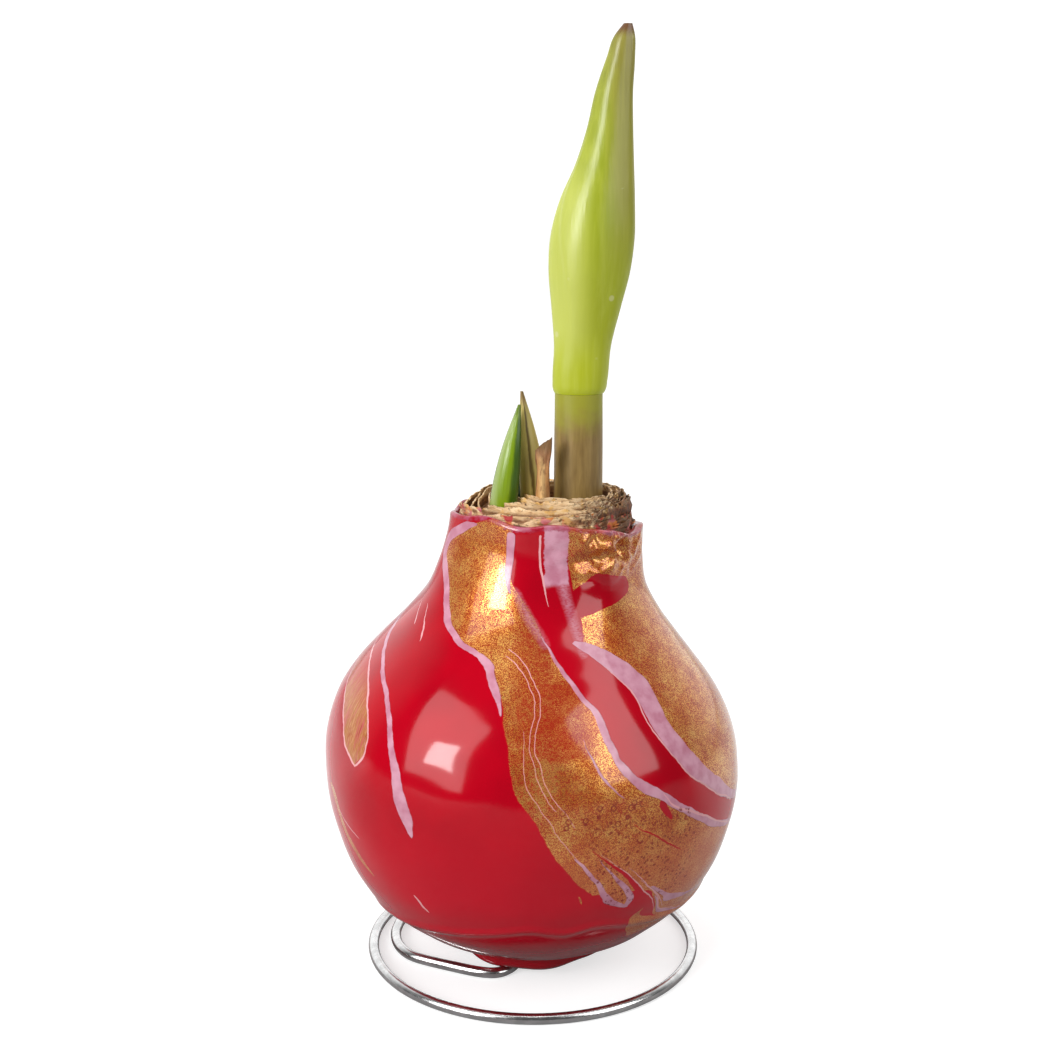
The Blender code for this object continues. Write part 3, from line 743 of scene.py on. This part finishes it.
def bulge(angle, z):
    """How far the bulb is from round, as a share of its radius."""
    belly = 0.006 * math.sin(2 * angle + 0.6) + 0.005 * math.sin(3 * angle + 2.0)
    neck = 0.018 * math.sin(4 * angle + 0.4) + 0.014 * math.sin(7 * angle + 1.9)
    return 1.0 + belly * fade(z, 4.0, 16.0) + neck * fade(z, 70.0, 92.0)


def skin_point(angle, radius, z, middle):
    """A point of the bulb's skin, with its lean, its flats and the slope of its rim."""
    height = z
    if z > NECK_START_Z:
        share = (z - NECK_START_Z) / (RIM_Z - NECK_START_Z)
        height = NECK_START_Z + (rim_height(angle) - NECK_START_Z) * share
    r = radius * bulge(angle, z)
    return Vector((middle + r * math.cos(angle), r * math.sin(angle), height))


def wax_relief(angle, z):
    """Raised runs, folds and hems of the wax, in millimetres outwards."""
    hem = hem_height(angle)
    roll = 0.42 * near(z, hem + 0.5, 1.1)
    roll += 0.25 * fade(z, hem - 0.7, hem + 0.3) * (1 - fade(z, hem, hem + 12.0))
    skirt_z = 9.2 + 1.5 * math.sin(2 * angle + 2.2) + 0.8 * math.sin(5 * angle + 1.0)
    skirt = 0.55 * near(z, skirt_z, 1.5)
    crumpled = facing(angle, 316.0, 26.0)
    crumple = 0.0
    if crumpled > 0.01 and z > 86.0:
        x, y = 20.0 * math.cos(angle), 20.0 * math.sin(angle)
        creases = 1.0 - 3.4 * abs(lumps(x, y, 1.4 * z + 3.0, 6.4)) - 1.0 * abs(lumps(x, y, z, 2.6))
        crumple = 1.25 * creases * crumpled
    side = 0.5 + 0.5 * math.cos(angle + 0.7)
    lip = (0.7 * side - 0.5 * (1 - side)) * fade(z, 91.0, 97.5)
    foot = (0.5 * math.sin(3 * angle + 0.5) + 0.35 * math.sin(8 * angle)) * (1 - fade(z, 5.0, 8.0))
    return roll + skirt + crumple * fade(z, 86.0, 92.0) + lip + foot - 0.14 * fade(z, 24.0, 34.0)


def wax_rows():
    """Radius, height and share of relief for each row: pad, outside, rim and inside."""
    rows = [(1.5, PAD_Z + 1.6, 0.0), (1.7, PAD_Z + 0.4, 0.0), (2.3, PAD_Z, 0.0), (6.0, PAD_Z, 0.0),
            (11.0, PAD_Z, 0.0), (15.0, PAD_Z, 0.5)]
    z = PAD_Z
    while z < RIM_Z - 0.3:
        rows.append((float(interpolate(OUTLINE, z)), z, 1.0))
        slope = (interpolate(OUTLINE, min(z + 0.2, RIM_Z)) - interpolate(OUTLINE, z)) / 0.2
        z += 0.62 / math.hypot(1.0, slope)
    top = float(interpolate(OUTLINE, RIM_Z))
    rows += [(top, RIM_Z - 0.25, 1.0), (top - 0.25, RIM_Z, 1.0), (top - 0.7, RIM_Z + 0.1, 0.8),
             (top - 1.2, RIM_Z - 0.1, 0.5), (top - 1.5, RIM_Z - 0.6, 0.2)]
    z = RIM_Z - 2.0
    while z > PAD_Z + WAX_WALL + 1.5:
        slope = (interpolate(OUTLINE, z + 0.2) - interpolate(OUTLINE, z - 0.2)) / 0.4
        long = math.hypot(1.0, slope)
        radius = float(interpolate(OUTLINE, z)) - WAX_WALL / long
        rows.append((radius, z + WAX_WALL * float(slope) / long, 0.0))
        z -= 3.0 / long
    # The inside stops at its own floor, which the last rows make
    rows = [row for k, row in enumerate(rows) if k < 12 or row[1] > PAD_Z + WAX_WALL or row[2] > 0.0]
    rows += [(12.0, PAD_Z + WAX_WALL, 0.0), (6.0, PAD_Z + WAX_WALL, 0.0), (1.5, PAD_Z + WAX_WALL, 0.0)]
    return rows


def wax():
    """The coat of wax, a closed shell with its rim and its inside."""
    rows = wax_rows()
    middles = [float(interpolate(LEAN, z)) for r, z, share in rows]

    def place(angle, row):
        radius, z, share = rows[row]
        relief = wax_relief(angle, z) * share if share else 0.0
        p = skin_point(angle, radius + relief, z, middles[row])
        if share:
            swell = 0.16 * lumps(p.x, p.y, p.z, 9.0) * share * fade(z, 4.0, 12.0)
            p.x += swell * math.cos(angle)
            p.y += swell * math.sin(angle)
        return p

    bm = skin(len(rows), steps=340, place=place)
    mark(bm, "below_rim", lambda p: rim_height(math.atan2(p.y, p.x - 2.0)) - p.z)
    dress(finish("marbled_wax", bm, Wax().make()), "wax", "wax_coat")


# The neck

def ring_radius(share, angle, outwards):
    """Middle and reach of the ring that lies share of the way from the outermost scale inwards."""
    lump = 1.0 + (bulge(angle, RIM_Z) - 1.0) * (1.0 - share)
    middle = NECK_X + NECK_SHIFT * share
    across = (NECK_R - 8.2 * share) * lump + outwards
    deep = (NECK_R - 8.8 * share) * lump + outwards
    return middle, across, deep


def scale_look(name="scale_skin", waxed=False):
    """Dry papery scale: pale at its torn edge, brown below it with painted shade darkening deeper into the
    gaps, and dirty on the right.
    """
    look = Look(name, roughness=0.62, specular_ior_level=0.35)
    x, y = look.axes("XY")
    fibres = look.noise(1.0, 4.0, 0.65, (0.4, 0.4, 2.4))
    patches = look.noise(3.4, 3.0, 0.6)
    specks = look.noise(0.7, 3.0, 0.7)
    shade = look.ramp(fibres * 0.6 + patches * 0.4, (0.3, colour(150, 104, 62)),
                      (0.42, colour(204, 164, 116)), (0.55, colour(232, 202, 158)),
                      (0.7, colour(246, 226, 190)))
    golden = look.noise(2.6, 2.0).fade(0.56, 0.66)
    shade = look.mix(golden * 0.7, shade, colour(216, 164, 76))
    edge = look.attribute("from_edge")
    # Deeper below the torn edge the sheet turns dark brown: painted shade of the gaps between the sheets
    inside = (edge + (specks - 0.5) * 0.8).fade(0.45, 1.25)
    shaded_husk = look.ramp(fibres * 0.55 + patches * 0.45, (0.36, colour(70, 38, 22)),
                     (0.46, colour(112, 66, 36)), (0.56, colour(150, 98, 58)), (0.66, colour(196, 150, 102)))
    shade = look.mix(inside * 0.85, shade, shaded_husk)
    torn = (edge + (fibres - 0.5) * 1.2).fade(0.42, 0.08) * specks.fade(0.52, 0.66)
    shade = look.mix(torn * 0.9, shade, colour(70, 34, 18))
    dirt = ((x * 0.9 - y * 0.35) + (look.noise(1.1, 4.0, 0.75) - 0.5) * 30.0).fade(12.0, 18.0)
    soil = look.mix(specks.fade(0.4, 0.6), colour(50, 26, 18), colour(112, 62, 36))
    shade = look.mix(dirt * 0.85, shade, soil)
    if waxed:
        smear = look.noise(3.2, 2.0, 0.5).fade(0.5, 0.56)
        tint = look.ramp(look.noise(4.5, 1.0), (0.4, colour(170, 60, 50)), (0.48, colour(196, 120, 124)),
                         (0.54, colour(206, 134, 64)), (0.62, colour(180, 60, 60)))
        shade = look.mix(smear, shade, tint)
    normal = look.bump(look.noise(0.45, 3.0, 0.6, (0.4, 0.4, 1.6)), 0.12)
    return look.set(base_color=shade, normal=normal)


def scale_top(angle, share):
    """How high a scale stands: the outer ones are low on the left, where they lie back over the wax."""
    left = facing(angle, 190.0, 55.0)
    front = facing(angle, 268.0, 50.0)
    return SCALE_TOP_Z + 0.3 * front - (1.0 - share) * (0.8 + 1.6 * left + 0.9 * front)


def scale_sheet(number, draw, leaf_feet):
    """One cut scale: a thin closed sheet with a torn top edge, bent clear of the leaves."""
    share = number / (SCALE_SHEETS - 1)
    phase = draw.uniform(0.0, TURN)
    rise = -0.7 * (number % 2) * (1 - share) + draw.uniform(-0.35, 0.35)
    seed = draw.uniform(0.0, 90.0)
    thick = draw.uniform(0.34, 0.55)
    rows = 7

    @functools.lru_cache(None)
    def torn_top(angle):
        x, y = seed + 9 * math.cos(angle), 9 * math.sin(angle)
        ragged = 0.9 * lumps(x, y, number, 3.4) + 0.4 * lumps(x, y, number, 1.0)
        notch = 1.5 * max(0.0, lumps(x, y, number + 40.0, 2.0) - 0.25) * (1.5 - share)
        torn_right = 1.2 * facing(angle, 335.0, 40.0) * (1 - share)
        notch += torn_right * max(0.0, lumps(2 * x, 2 * y, number + 9.0, 1.6) + 0.2)
        return min(scale_top(angle, share) + rise + ragged - notch, SCALE_TOP_Z + 0.4)

    def place(angle, row):
        inside = row >= rows
        level = 2 * rows - 1 - row if inside else row
        t = level / (rows - 1)
        top = torn_top(angle)
        height = SCALE_FOOT_Z + (top - SCALE_FOOT_Z) * (1 - (1 - t) ** 1.6)
        wave = 0.3 * math.sin(3 * angle + phase) + 0.2 * math.sin(7 * angle + 2 * phase)
        curl = 0.5 * math.sin(2 * angle + 2 * phase) + 0.25 * math.sin(9 * angle + phase)
        curl *= fade(t, 0.45, 1.0)
        left = facing(angle, 190.0, 50.0) * (1 - share)
        lean = -1.3 * left * fade(t, 0.3, 1.0)
        crinkle = 0.12 * lumps(10 * math.cos(angle) + seed, 10 * math.sin(angle), height, 0.8)
        rough_side = facing(angle, 335.0, 45.0) * (1 - share)
        crinkle += 0.9 * rough_side * lumps(16 * math.cos(angle), 16 * math.sin(angle) + seed, height, 1.7)
        outwards = wave * 0.7 + curl * 0.7 + lean + crinkle - (thick * (1 - 0.4 * t) if inside else 0.0)
        middle, across, deep = ring_radius(share, angle, outwards)
        p = Vector((middle + across * math.cos(angle), deep * math.sin(angle), height))
        for foot, reach in leaf_feet:
            away = Vector((p.x - foot.x, p.y - foot.y, 0.0))
            if away.length < reach:
                p += away.normalized() * (reach - away.length)
        return p

    bm = skin(2 * rows, steps=220, place=place)
    bmesh.ops.bridge_loops(bm, edges=[e for e in bm.edges if e.is_boundary])
    middle = NECK_X + NECK_SHIFT * share

    def below_top(p):
        top = scale_top(math.atan2(p.y, p.x - middle), share) + rise
        return max(0.0, min(top, SCALE_TOP_Z + 0.4) - p.z)

    mark(bm, "from_edge", below_top)
    return bm


def flakes(draw):
    """Torn bits of scale caught in the wax, lying over its rim and standing up at the right."""
    parts = []
    for k in range(FLAKES):
        bm = bmesh.new()
        bmesh.ops.create_grid(bm, x_segments=8, y_segments=6, size=1.0)
        mark(bm, "from_edge", lambda p: 1.6 * (1.0 - max(abs(p.x), abs(p.y))))
        around = draw.uniform(196.0, 372.0) if k % 3 else draw.uniform(300.0, 372.0)
        long = draw.uniform(1.8, 4.2)
        wide = draw.uniform(0.7, 1.6)
        seed = draw.uniform(0.0, 50.0)
        tilt = draw.uniform(0.35, 1.0)
        reach = draw.uniform(17.7, 18.5)
        rise = rim_height(math.radians(around)) + draw.uniform(-0.4, 1.3 + 1.8 * near(around, 340.0, 30.0))
        out = direction(around)
        side = direction(around + 90.0)
        for v in bm.verts:
            u, w = v.co.x, v.co.y
            ragged = 1.0 + 0.4 * lumps(u * 2 + seed, w * 2, 0.0, 1.0)
            back = 0.9 * w * (1 - tilt) - 0.06 * (long * u) ** 2 + 0.3 * lumps(u + seed, w, 3.0, 0.8)
            lift = rise + wide * w * tilt * ragged + 0.3 * lumps(u, w + seed, 5.0, 0.9)
            v.co = Vector((NECK_X, 0.0, lift)) + out * (reach + back) + side * (long * u * ragged)
        bmesh.ops.solidify(bm, geom=bm.faces[:], thickness=0.22)
        parts.append(ordered(bm))
    return parts


def scales():
    """The sheets of the cut neck and the flakes round them."""
    draw = random.Random(11)
    leaf_feet = [(Vector((*leaf["foot"], 0.0)), leaf["half_width"] * 0.8) for leaf in LEAVES.values()]
    sheets = [scale_sheet(k, draw, leaf_feet) for k in range(SCALE_SHEETS)]
    dress(finish("neck_scales", joined(sheets), scale_look()), "dry_scale")
    dress(finish("torn_flakes", joined(flakes(draw)), scale_look("torn_skin", waxed=True)), "dry_scale")


def bulb_body():
    """The bulb inside the wax and the bed between the scales, brown with the scales' painted gap shade."""
    rows = [(0.0, SPIKE_TOP + 0.6), (1.5, SPIKE_TOP + 0.3), (1.5, PAD_Z + 1.9), (8.0, PAD_Z + 1.9)]
    for z in (6.6, 8.4, 11.5, 17.0, 26.0, 36.0, 46.0, 55.0, 62.0, 68.5, 74.5, 81.0, 88.0, 92.0):
        slope = float(interpolate(OUTLINE, z + 0.4) - interpolate(OUTLINE, z - 0.4)) / 0.8
        long = math.hypot(1.0, slope)
        radius = float(interpolate(OUTLINE, z)) - BODY_DEPTH / long
        rows.append((radius, max(z + BODY_DEPTH * slope / long, PAD_Z + BODY_DEPTH)))
    bed = [(1.0 - 0.08 * k, 96.4 + 2.2 * fade(k, 0, 4)) for k in range(13)]

    def place(angle, row):
        if row < len(rows):
            radius, z = rows[row]
            return skin_point(angle, radius, z, float(interpolate(LEAN, z)))
        share, z = bed[row - len(rows)]
        x = NECK_X + NECK_SHIFT * (1 - share) + BED_R * share * math.cos(angle)
        y = BED_R * share * math.sin(angle)
        return Vector((x, y, z + 0.5 * lumps(x, y, 3.0, 1.5)))

    bm = skin(len(rows) + len(bed), steps=96, place=place)
    close_ends(bm)
    # Every point counts as far below a torn edge, so the whole body takes the painted shade of the gaps
    mark(bm, "from_edge", lambda p: 2.0)
    dress(finish("bulb_body", bm, scale_look("bulb_flesh")), "dry_scale", "bulb")


# Stalk, bud and leaves

def stalk():
    """The oval stalk, brown below and green at its top."""
    look = Look("stalk_skin", roughness=0.42)
    height, = look.axes("Z")
    green = (height + (look.noise(2.5) - 0.5) * 5.0).fade(112.0, 120.5)
    brown = look.ramp(look.noise(1.3, 3.0, 0.6, (1.0, 1.0, 0.12)), (0.3, colour(120, 94, 48)),
                      (0.6, colour(144, 118, 66)), (0.8, colour(156, 128, 80)))
    shade = look.mix(green, brown, colour(150, 148, 40))
    normal = look.bump(look.noise(0.5, 2.0, 0.5, (1.0, 1.0, 0.05)), 0.05)
    material = look.set(base_color=shade, normal=normal)
    heights = [STALK_FOOT_Z + k * (STALK_TOP_Z - STALK_FOOT_Z) / 40 for k in range(41)]

    def place(angle, row):
        z = heights[row]
        wide = 1.0 + 0.012 * fade(z, 116.0, STALK_FOOT_Z) - 0.02 * fade(z, 110.0, STALK_TOP_Z)
        return Vector((STALK_X + STALK_HALF_WIDTH * wide * math.cos(angle),
                       STALK_Y + STALK_HALF_DEPTH * wide * math.sin(angle), z))

    bm = skin(len(heights), steps=72, place=place)
    close_ends(bm)
    dress(finish("stalk", bm, material), "stalk", "flower_stalk")


def seam_angle(z):
    """Where the margin of the bud's outer bract lies."""
    return math.radians(236.0 - 50.0 * fade(z, 136.0, 168.0))


def bud():
    """The closed bud, one bract lapped over the other."""
    look = Look("bud_skin", roughness=0.36)
    x, height = look.axes("XZ")
    low = look.ramp((height - 122.0) / 72.0, (0.0, colour(172, 180, 30)), (0.3, colour(160, 170, 24)),
                    (0.5, colour(148, 160, 20)), (0.75, colour(148, 158, 44)), (1.0, colour(132, 132, 58)))
    streak = look.noise(1.4, 3.0, 0.6, (1.0, 1.0, 0.06))
    shade = look.mix(streak.fade(0.35, 0.7) * 0.35, low, colour(188, 196, 76))
    # A paler left side on the bud: a painted reflection of the light from the left
    pale = (x - 12.0 + (streak - 0.5) * 3.0).fade(1.0, -5.0)
    pale = pale * height.fade(126.0, 136.0) * height.fade(176.0, 160.0)
    shade = look.mix(pale * 0.6, shade, colour(200, 206, 106))
    flushed = (x - 13.0 + (streak - 0.5) * 4.0).fade(0.0, 5.0) * height.fade(140.0, 165.0)
    shade = look.mix(flushed * 0.45, shade, colour(140, 116, 56))
    scars = look.cells(5.0).fade(0.16, 0.1) * look.noise(6.0, 1.0).fade(0.5, 0.56)
    shade = look.mix(scars * 0.55, shade, colour(206, 206, 150))
    brown = height.fade(BUD_TIP_Z - 3.0, BUD_TIP_Z - 0.6)
    shade = look.mix(brown, shade, colour(104, 70, 40))
    normal = look.bump(look.noise(0.6, 2.0, 0.5, (1.0, 1.0, 0.05)), 0.06)
    material = look.set(base_color=shade, normal=normal)
    rows = 130
    foot = BUD[0][0]
    heights = [foot + (BUD_TIP_Z - foot) * k / (rows - 1) for k in range(rows)]
    middles = [float(interpolate([(b[0], b[1]) for b in BUD], z)) for z in heights]
    halves = [float(interpolate([(b[0], b[2]) for b in BUD], z)) for z in heights]

    def place(angle, row):
        z = heights[row]
        half = halves[row]
        step = 0.45 * fade(z, 128.0, 142.0) * (1 - fade(z, 166.0, 176.0))
        past = (angle - seam_angle(z)) % TURN
        lap = step * math.exp(-past * 1.1) * fade(past, 0.0, 0.25)
        keel = 0.05 * half * math.cos(4 * angle + 0.8) * fade(z, 126.0, 140.0)
        r = half + lap + keel
        return Vector((middles[row] + r * math.cos(angle), STALK_Y + BUD_DEPTH * r * math.sin(angle), z))

    bm = skin(rows, steps=96, place=place)
    close_ends(bm)
    dress(finish("closed_bud", bm, material), "bud", "flower_bud")


# Left side, middle, right side and margin colours, and roughness. The green leaf's pale left side is a
# painted reflection and its dark right side painted shade; the olive leaf's dark middle is painted shade in
# its groove; the dark leaf's colours are painted shade of the gap between the outer leaves.
LEAF_SHADES = {
    "green_leaf": (colour(150, 170, 96), colour(122, 150, 22), colour(62, 92, 14), colour(62, 88, 22), 0.22),
    "olive_leaf": (colour(196, 176, 96), colour(100, 82, 30), colour(178, 160, 88), colour(204, 186, 120),
                   0.4),
    "dark_leaf": (colour(84, 100, 84), colour(56, 74, 58), colour(48, 66, 56), colour(104, 120, 100), 0.45),
    "withered_leaf": (colour(190, 140, 82), colour(220, 178, 118), colour(176, 122, 68), colour(120, 74, 38),
                      0.6),
}
# Where the left side's colour ends and the right side's starts, across a leaf from -1 to 1
FOLDS = {
    "green_leaf": (-0.5, 0.1, 0.45, 0.75),
    "olive_leaf": (-0.42, -0.28, -0.2, 0.02),
    "dark_leaf": (-0.75, -0.1, 0.2, 0.7),
    "withered_leaf": (-0.75, -0.2, 0.1, 0.6),
}


def leaf_look(name):
    """A leaf's two sides, its fold, its margins and its tip, with painted light and shade across the green,
    olive and dark leaves.
    """
    left, middle, right, margin, roughness = LEAF_SHADES[name]
    look = Look(name, roughness=roughness)
    across = look.attribute("across")
    along = look.attribute("along")
    streak = look.noise(0.55, 3.0, 0.6, (1.0, 1.0, 0.06))
    place = across + (streak - 0.5) * 0.35
    left_full, left_gone, right_from, right_full = FOLDS[name]
    # Across the leaf the colour goes from the left side's to the middle's to the right side's: painted
    # reflection and shade, as listed with the colours
    shade = look.mix(place.fade(left_full, left_gone), left, middle)
    shade = look.mix(place.fade(right_from, right_full), shade, right)
    if name == "withered_leaf":
        creases = look.noise(1.1, 3.0, 0.7, (1.0, 1.0, 0.3))
        shade = look.mix(creases.fade(0.5, 0.64) * 0.6, shade, colour(140, 88, 44))
        shade = look.mix((along + (creases - 0.5) * 0.5).fade(0.68, 0.92) * 0.75, shade, colour(126, 80, 46))
    shade = look.mix(abs(place).fade(0.84, 0.95), shade, margin)
    tip = (along + (streak - 0.5) * 0.1).fade(0.86, 0.97)
    shade = look.mix(tip * 0.8, shade, colour(96, 120, 30) if name == "green_leaf" else colour(110, 78, 36))
    normal = look.bump(look.noise(1.0, 2.0, 0.5, at=look.spot(across * 9.0, along * 1.5)), 0.1)
    normal = look.bump(streak, 0.03, normal=normal)
    return look.set(base_color=shade, normal=normal)


def leaf(name, node, slot, foot, tip, half_width, hollow, thick, back, shape, slant):
    """A leaf tip, hollowed like a channel, from its foot in the neck to its tip."""
    rows = 60
    start = Vector((*foot, LEAF_FOOT_Z))
    end = Vector(tip)
    out = direction(back)
    side = direction(back + 90.0)
    widths = [float(interpolate(shape, row / (rows - 1))) for row in range(rows)]
    dry = name == "withered_leaf"

    def place(angle, row):
        t = row / (rows - 1)
        wide = widths[row]
        body = max(0.5, thick * (0.45 + 0.55 * wide))
        u = math.cos(angle)
        middle = start.lerp(end, t) + out * (LEAF_BOW * math.sin(math.pi * t))
        arch = hollow * wide * (1 - u * u)
        through = math.sin(angle)
        depth = arch - 0.5 * body * (1 - 0.4 * u * u)
        if abs(through) > 1e-6:
            depth += 0.5 * body * through * abs(through) ** -0.4
        rise = Vector((0.0, 0.0, slant * u * fade(t, 0.6, 1.0)))
        if dry:
            depth += 0.35 * math.sin(3.2 * u + 5.0 * t) + 0.2 * lumps(3 * u, 0.0, 9 * t, 1.3)
            rise.z += 0.5 * lumps(4 * u, 2.0, 0.0, 1.1) * fade(t, 0.8, 1.0)
        return middle + side * (half_width * wide * u) + out * depth + rise

    bm = skin(rows, steps=48, place=place)
    close_ends(bm)

    def along(p):
        return min(1.0, max(0.0, (p.z - start.z) / (end.z - start.z)))

    def across(p):
        t = along(p)
        return (p - start.lerp(end, t)).dot(side) / half_width / max(0.12, float(interpolate(shape, t)))

    mark(bm, "across", across)
    mark(bm, "along", along)
    dress(finish(name, bm, leaf_look(name)), slot, node)


# The stand

def wire_path():
    """The wire's middle line: round the ring, across under the bulb and up the spike."""
    path = []
    free_end = 135.0
    steps = 150
    for k in range(steps + 1):
        degrees = free_end + (526.0 - free_end) * k / steps
        r = RING_R - (RING_R - RING_INNER_R) * fade(degrees, 420.0, 526.0)
        path.append(direction(degrees) * r + Vector((0.0, 0.0, WIRE_R)))
    run = [Vector((x, y, WIRE_R)) for x, y in WIRE_RUN]
    path += smooth_path([path[-1], *run], 6)[1:]
    for k in range(9):
        a = math.radians(11.25 * k)
        back = -SPIKE_BEND_R * (1 - math.sin(a))
        path.append(Vector((0.0, back, WIRE_R + SPIKE_BEND_R * (1 - math.cos(a)))))
    return path + [Vector((0.0, 0.0, 8.0)), Vector((0.0, 0.0, SPIKE_TOP))]


def wire():
    """The stand, one bright wire, painted dull and red-brown below the bulb as its shadow."""
    look = Look("bright_wire")
    x, y = look.axes("XY")
    tone = look.noise(3.0, 3.0, 0.6)
    shade = look.mix(tone.fade(0.35, 0.7), colour(214, 214, 214), colour(238, 238, 238))
    # Below the bulb the wire turns dull red-brown: a painted shadow of the bulb
    dull_shadow_under_bulb = (look.noise(4.0, 3.0, 0.6) * 6.0 + x * 0.5).fade(1.0, 3.0)
    dull_shadow_under_bulb = dull_shadow_under_bulb * abs(x + 4.0).fade(6.5, 3.0) * abs(y + 13.0).fade(6.0, 3.5)
    shade = look.mix(dull_shadow_under_bulb * 0.6, shade, colour(120, 66, 52))
    normal = look.bump(look.noise(1.4, 2.0, 0.5), 0.025)
    material = look.set(base_color=shade, roughness=0.16 + tone * 0.12 + dull_shadow_under_bulb * 0.3,
                        metallic=1.0 - dull_shadow_under_bulb * 0.7, normal=normal)
    path = wire_path()
    last = len(path) - 1
    tangents = [(path[min(k + 1, last)] - path[max(k - 1, 0)]).normalized() for k in range(last + 1)]
    ups = [Vector((0.0, 0.0, 1.0))]
    for tangent in tangents:
        across = tangent.cross(ups[-1]).normalized()
        ups.append(across.cross(tangent).normalized())

    def place(angle, row):
        across = tangents[row].cross(ups[row + 1]).normalized()
        return path[row] + across * (WIRE_R * math.cos(angle)) + ups[row + 1] * (WIRE_R * math.sin(angle))

    bm = skin(len(path), steps=24, place=place)
    close_ends(bm)
    dress(finish("wire", bm, material), "wire", "wire_stand")


# Floor, light and camera

def stage():
    """A pale floor. The part sees it darker in front than behind, as on a studio sweep."""
    bm = bmesh.new()
    bmesh.ops.create_grid(bm, x_segments=2, y_segments=2, size=3.0)
    mesh = bpy.data.meshes.new("floor")
    bm.to_mesh(mesh)
    bm.free()
    floor = bpy.data.objects.new("floor", mesh)
    bpy.context.collection.objects.link(floor)
    paint = bpy.data.materials.new("floor")
    paint.use_nodes = True
    nodes = Nodes(paint.node_tree)
    shader = nodes.tree.nodes["Principled BSDF"]
    nodes.put(shader.inputs["Base Color"], (0.5, 0.5, 0.5, 1.0))
    nodes.put(shader.inputs["Roughness"], 0.9)
    nodes.put(shader.inputs["Emission Color"], (1.0, 1.0, 1.0, 1.0))
    nodes.put(shader.inputs["Emission Strength"], 0.64)
    sweep = nodes.part(nodes.add("ShaderNodeTexCoord", output="Object"), "Y").fade(-0.04, 0.1, 0.27, 0.85)
    dim = nodes.add("ShaderNodeBsdfDiffuse", None, {"Color": sweep})
    seen = nodes.add("ShaderNodeLightPath", output="Is Camera Ray")
    mixed = nodes.add("ShaderNodeMixShader", None, (seen, dim, Value(nodes, shader.outputs[0])))
    nodes.put(nodes.tree.nodes["Material Output"].inputs["Surface"], mixed)
    mesh.materials.append(paint)


def softbox(name, azimuth, elevation, width, height, power, distance=0.85):
    """A soft studio light, aimed at the bulb's front."""
    light = bpy.data.lights.new(name, "AREA")
    light.shape = "RECTANGLE"
    light.size = width
    light.size_y = height
    light.energy = power
    made = bpy.data.objects.new(name, light)
    aim = Vector((0.0, -0.03, 0.062))
    away = direction(azimuth) * math.cos(math.radians(elevation))
    away.z = math.sin(math.radians(elevation))
    made.location = aim + away * distance
    made.rotation_euler = away.to_track_quat("Z", "Y").to_euler()
    bpy.context.collection.objects.link(made)


def studio_air():
    """White surroundings behind, at the sides' far edges and overhead, and a dark room in front."""
    world = bpy.data.worlds.new("studio")
    bpy.context.scene.world = world
    world.use_nodes = True
    nodes = Nodes(world.node_tree)
    sky = nodes.tree.nodes["Background"]
    way = nodes.add("ShaderNodeTexCoord", output="Generated")
    behind = nodes.part(way, "Y").fade(-0.05, 0.75, 0.06, 1.15)
    overhead = nodes.part(way, "Z").fade(0.9, 0.97, 0.0, 2.6)
    seen = nodes.add("ShaderNodeLightPath", output="Is Camera Ray")
    nodes.put(sky.inputs["Color"], (1.0, 1.0, 1.0, 1.0))
    nodes.put(sky.inputs["Strength"], behind.most(overhead).most(seen))


def lights():
    """Two softboxes, a lamp that makes the left one's bright core, and the room."""
    softbox("left_softbox", -142.0, 28.0, 0.62, 0.76, 4.5)
    softbox("left_lamp", -138.0, 23.0, 0.28, 0.32, 3.9)
    softbox("right_softbox", -32.0, 31.0, 0.52, 0.7, 3.8)
    studio_air()
    bpy.context.scene.view_settings.view_transform = "Standard"


def camera():
    """The photograph's own place and angle."""
    data = bpy.data.cameras.new("camera")
    data.sensor_width = 36.0
    data.lens = CAMERA_LENS
    made = bpy.data.objects.new("camera", data)
    x, y, z = CAMERA_AT
    made.location = ((AXIS_X + x) * MM, (AXIS_Y + y) * MM, z * MM)
    made.rotation_euler = (math.radians(CAMERA_TILT), 0.0, 0.0)
    bpy.context.collection.objects.link(made)
    bpy.context.scene.camera = made


wax()
bulb_body()
scales()
stalk()
bud()
for leaf_name, facts in LEAVES.items():
    leaf(leaf_name, **facts)
wire()
stage()
lights()
camera()
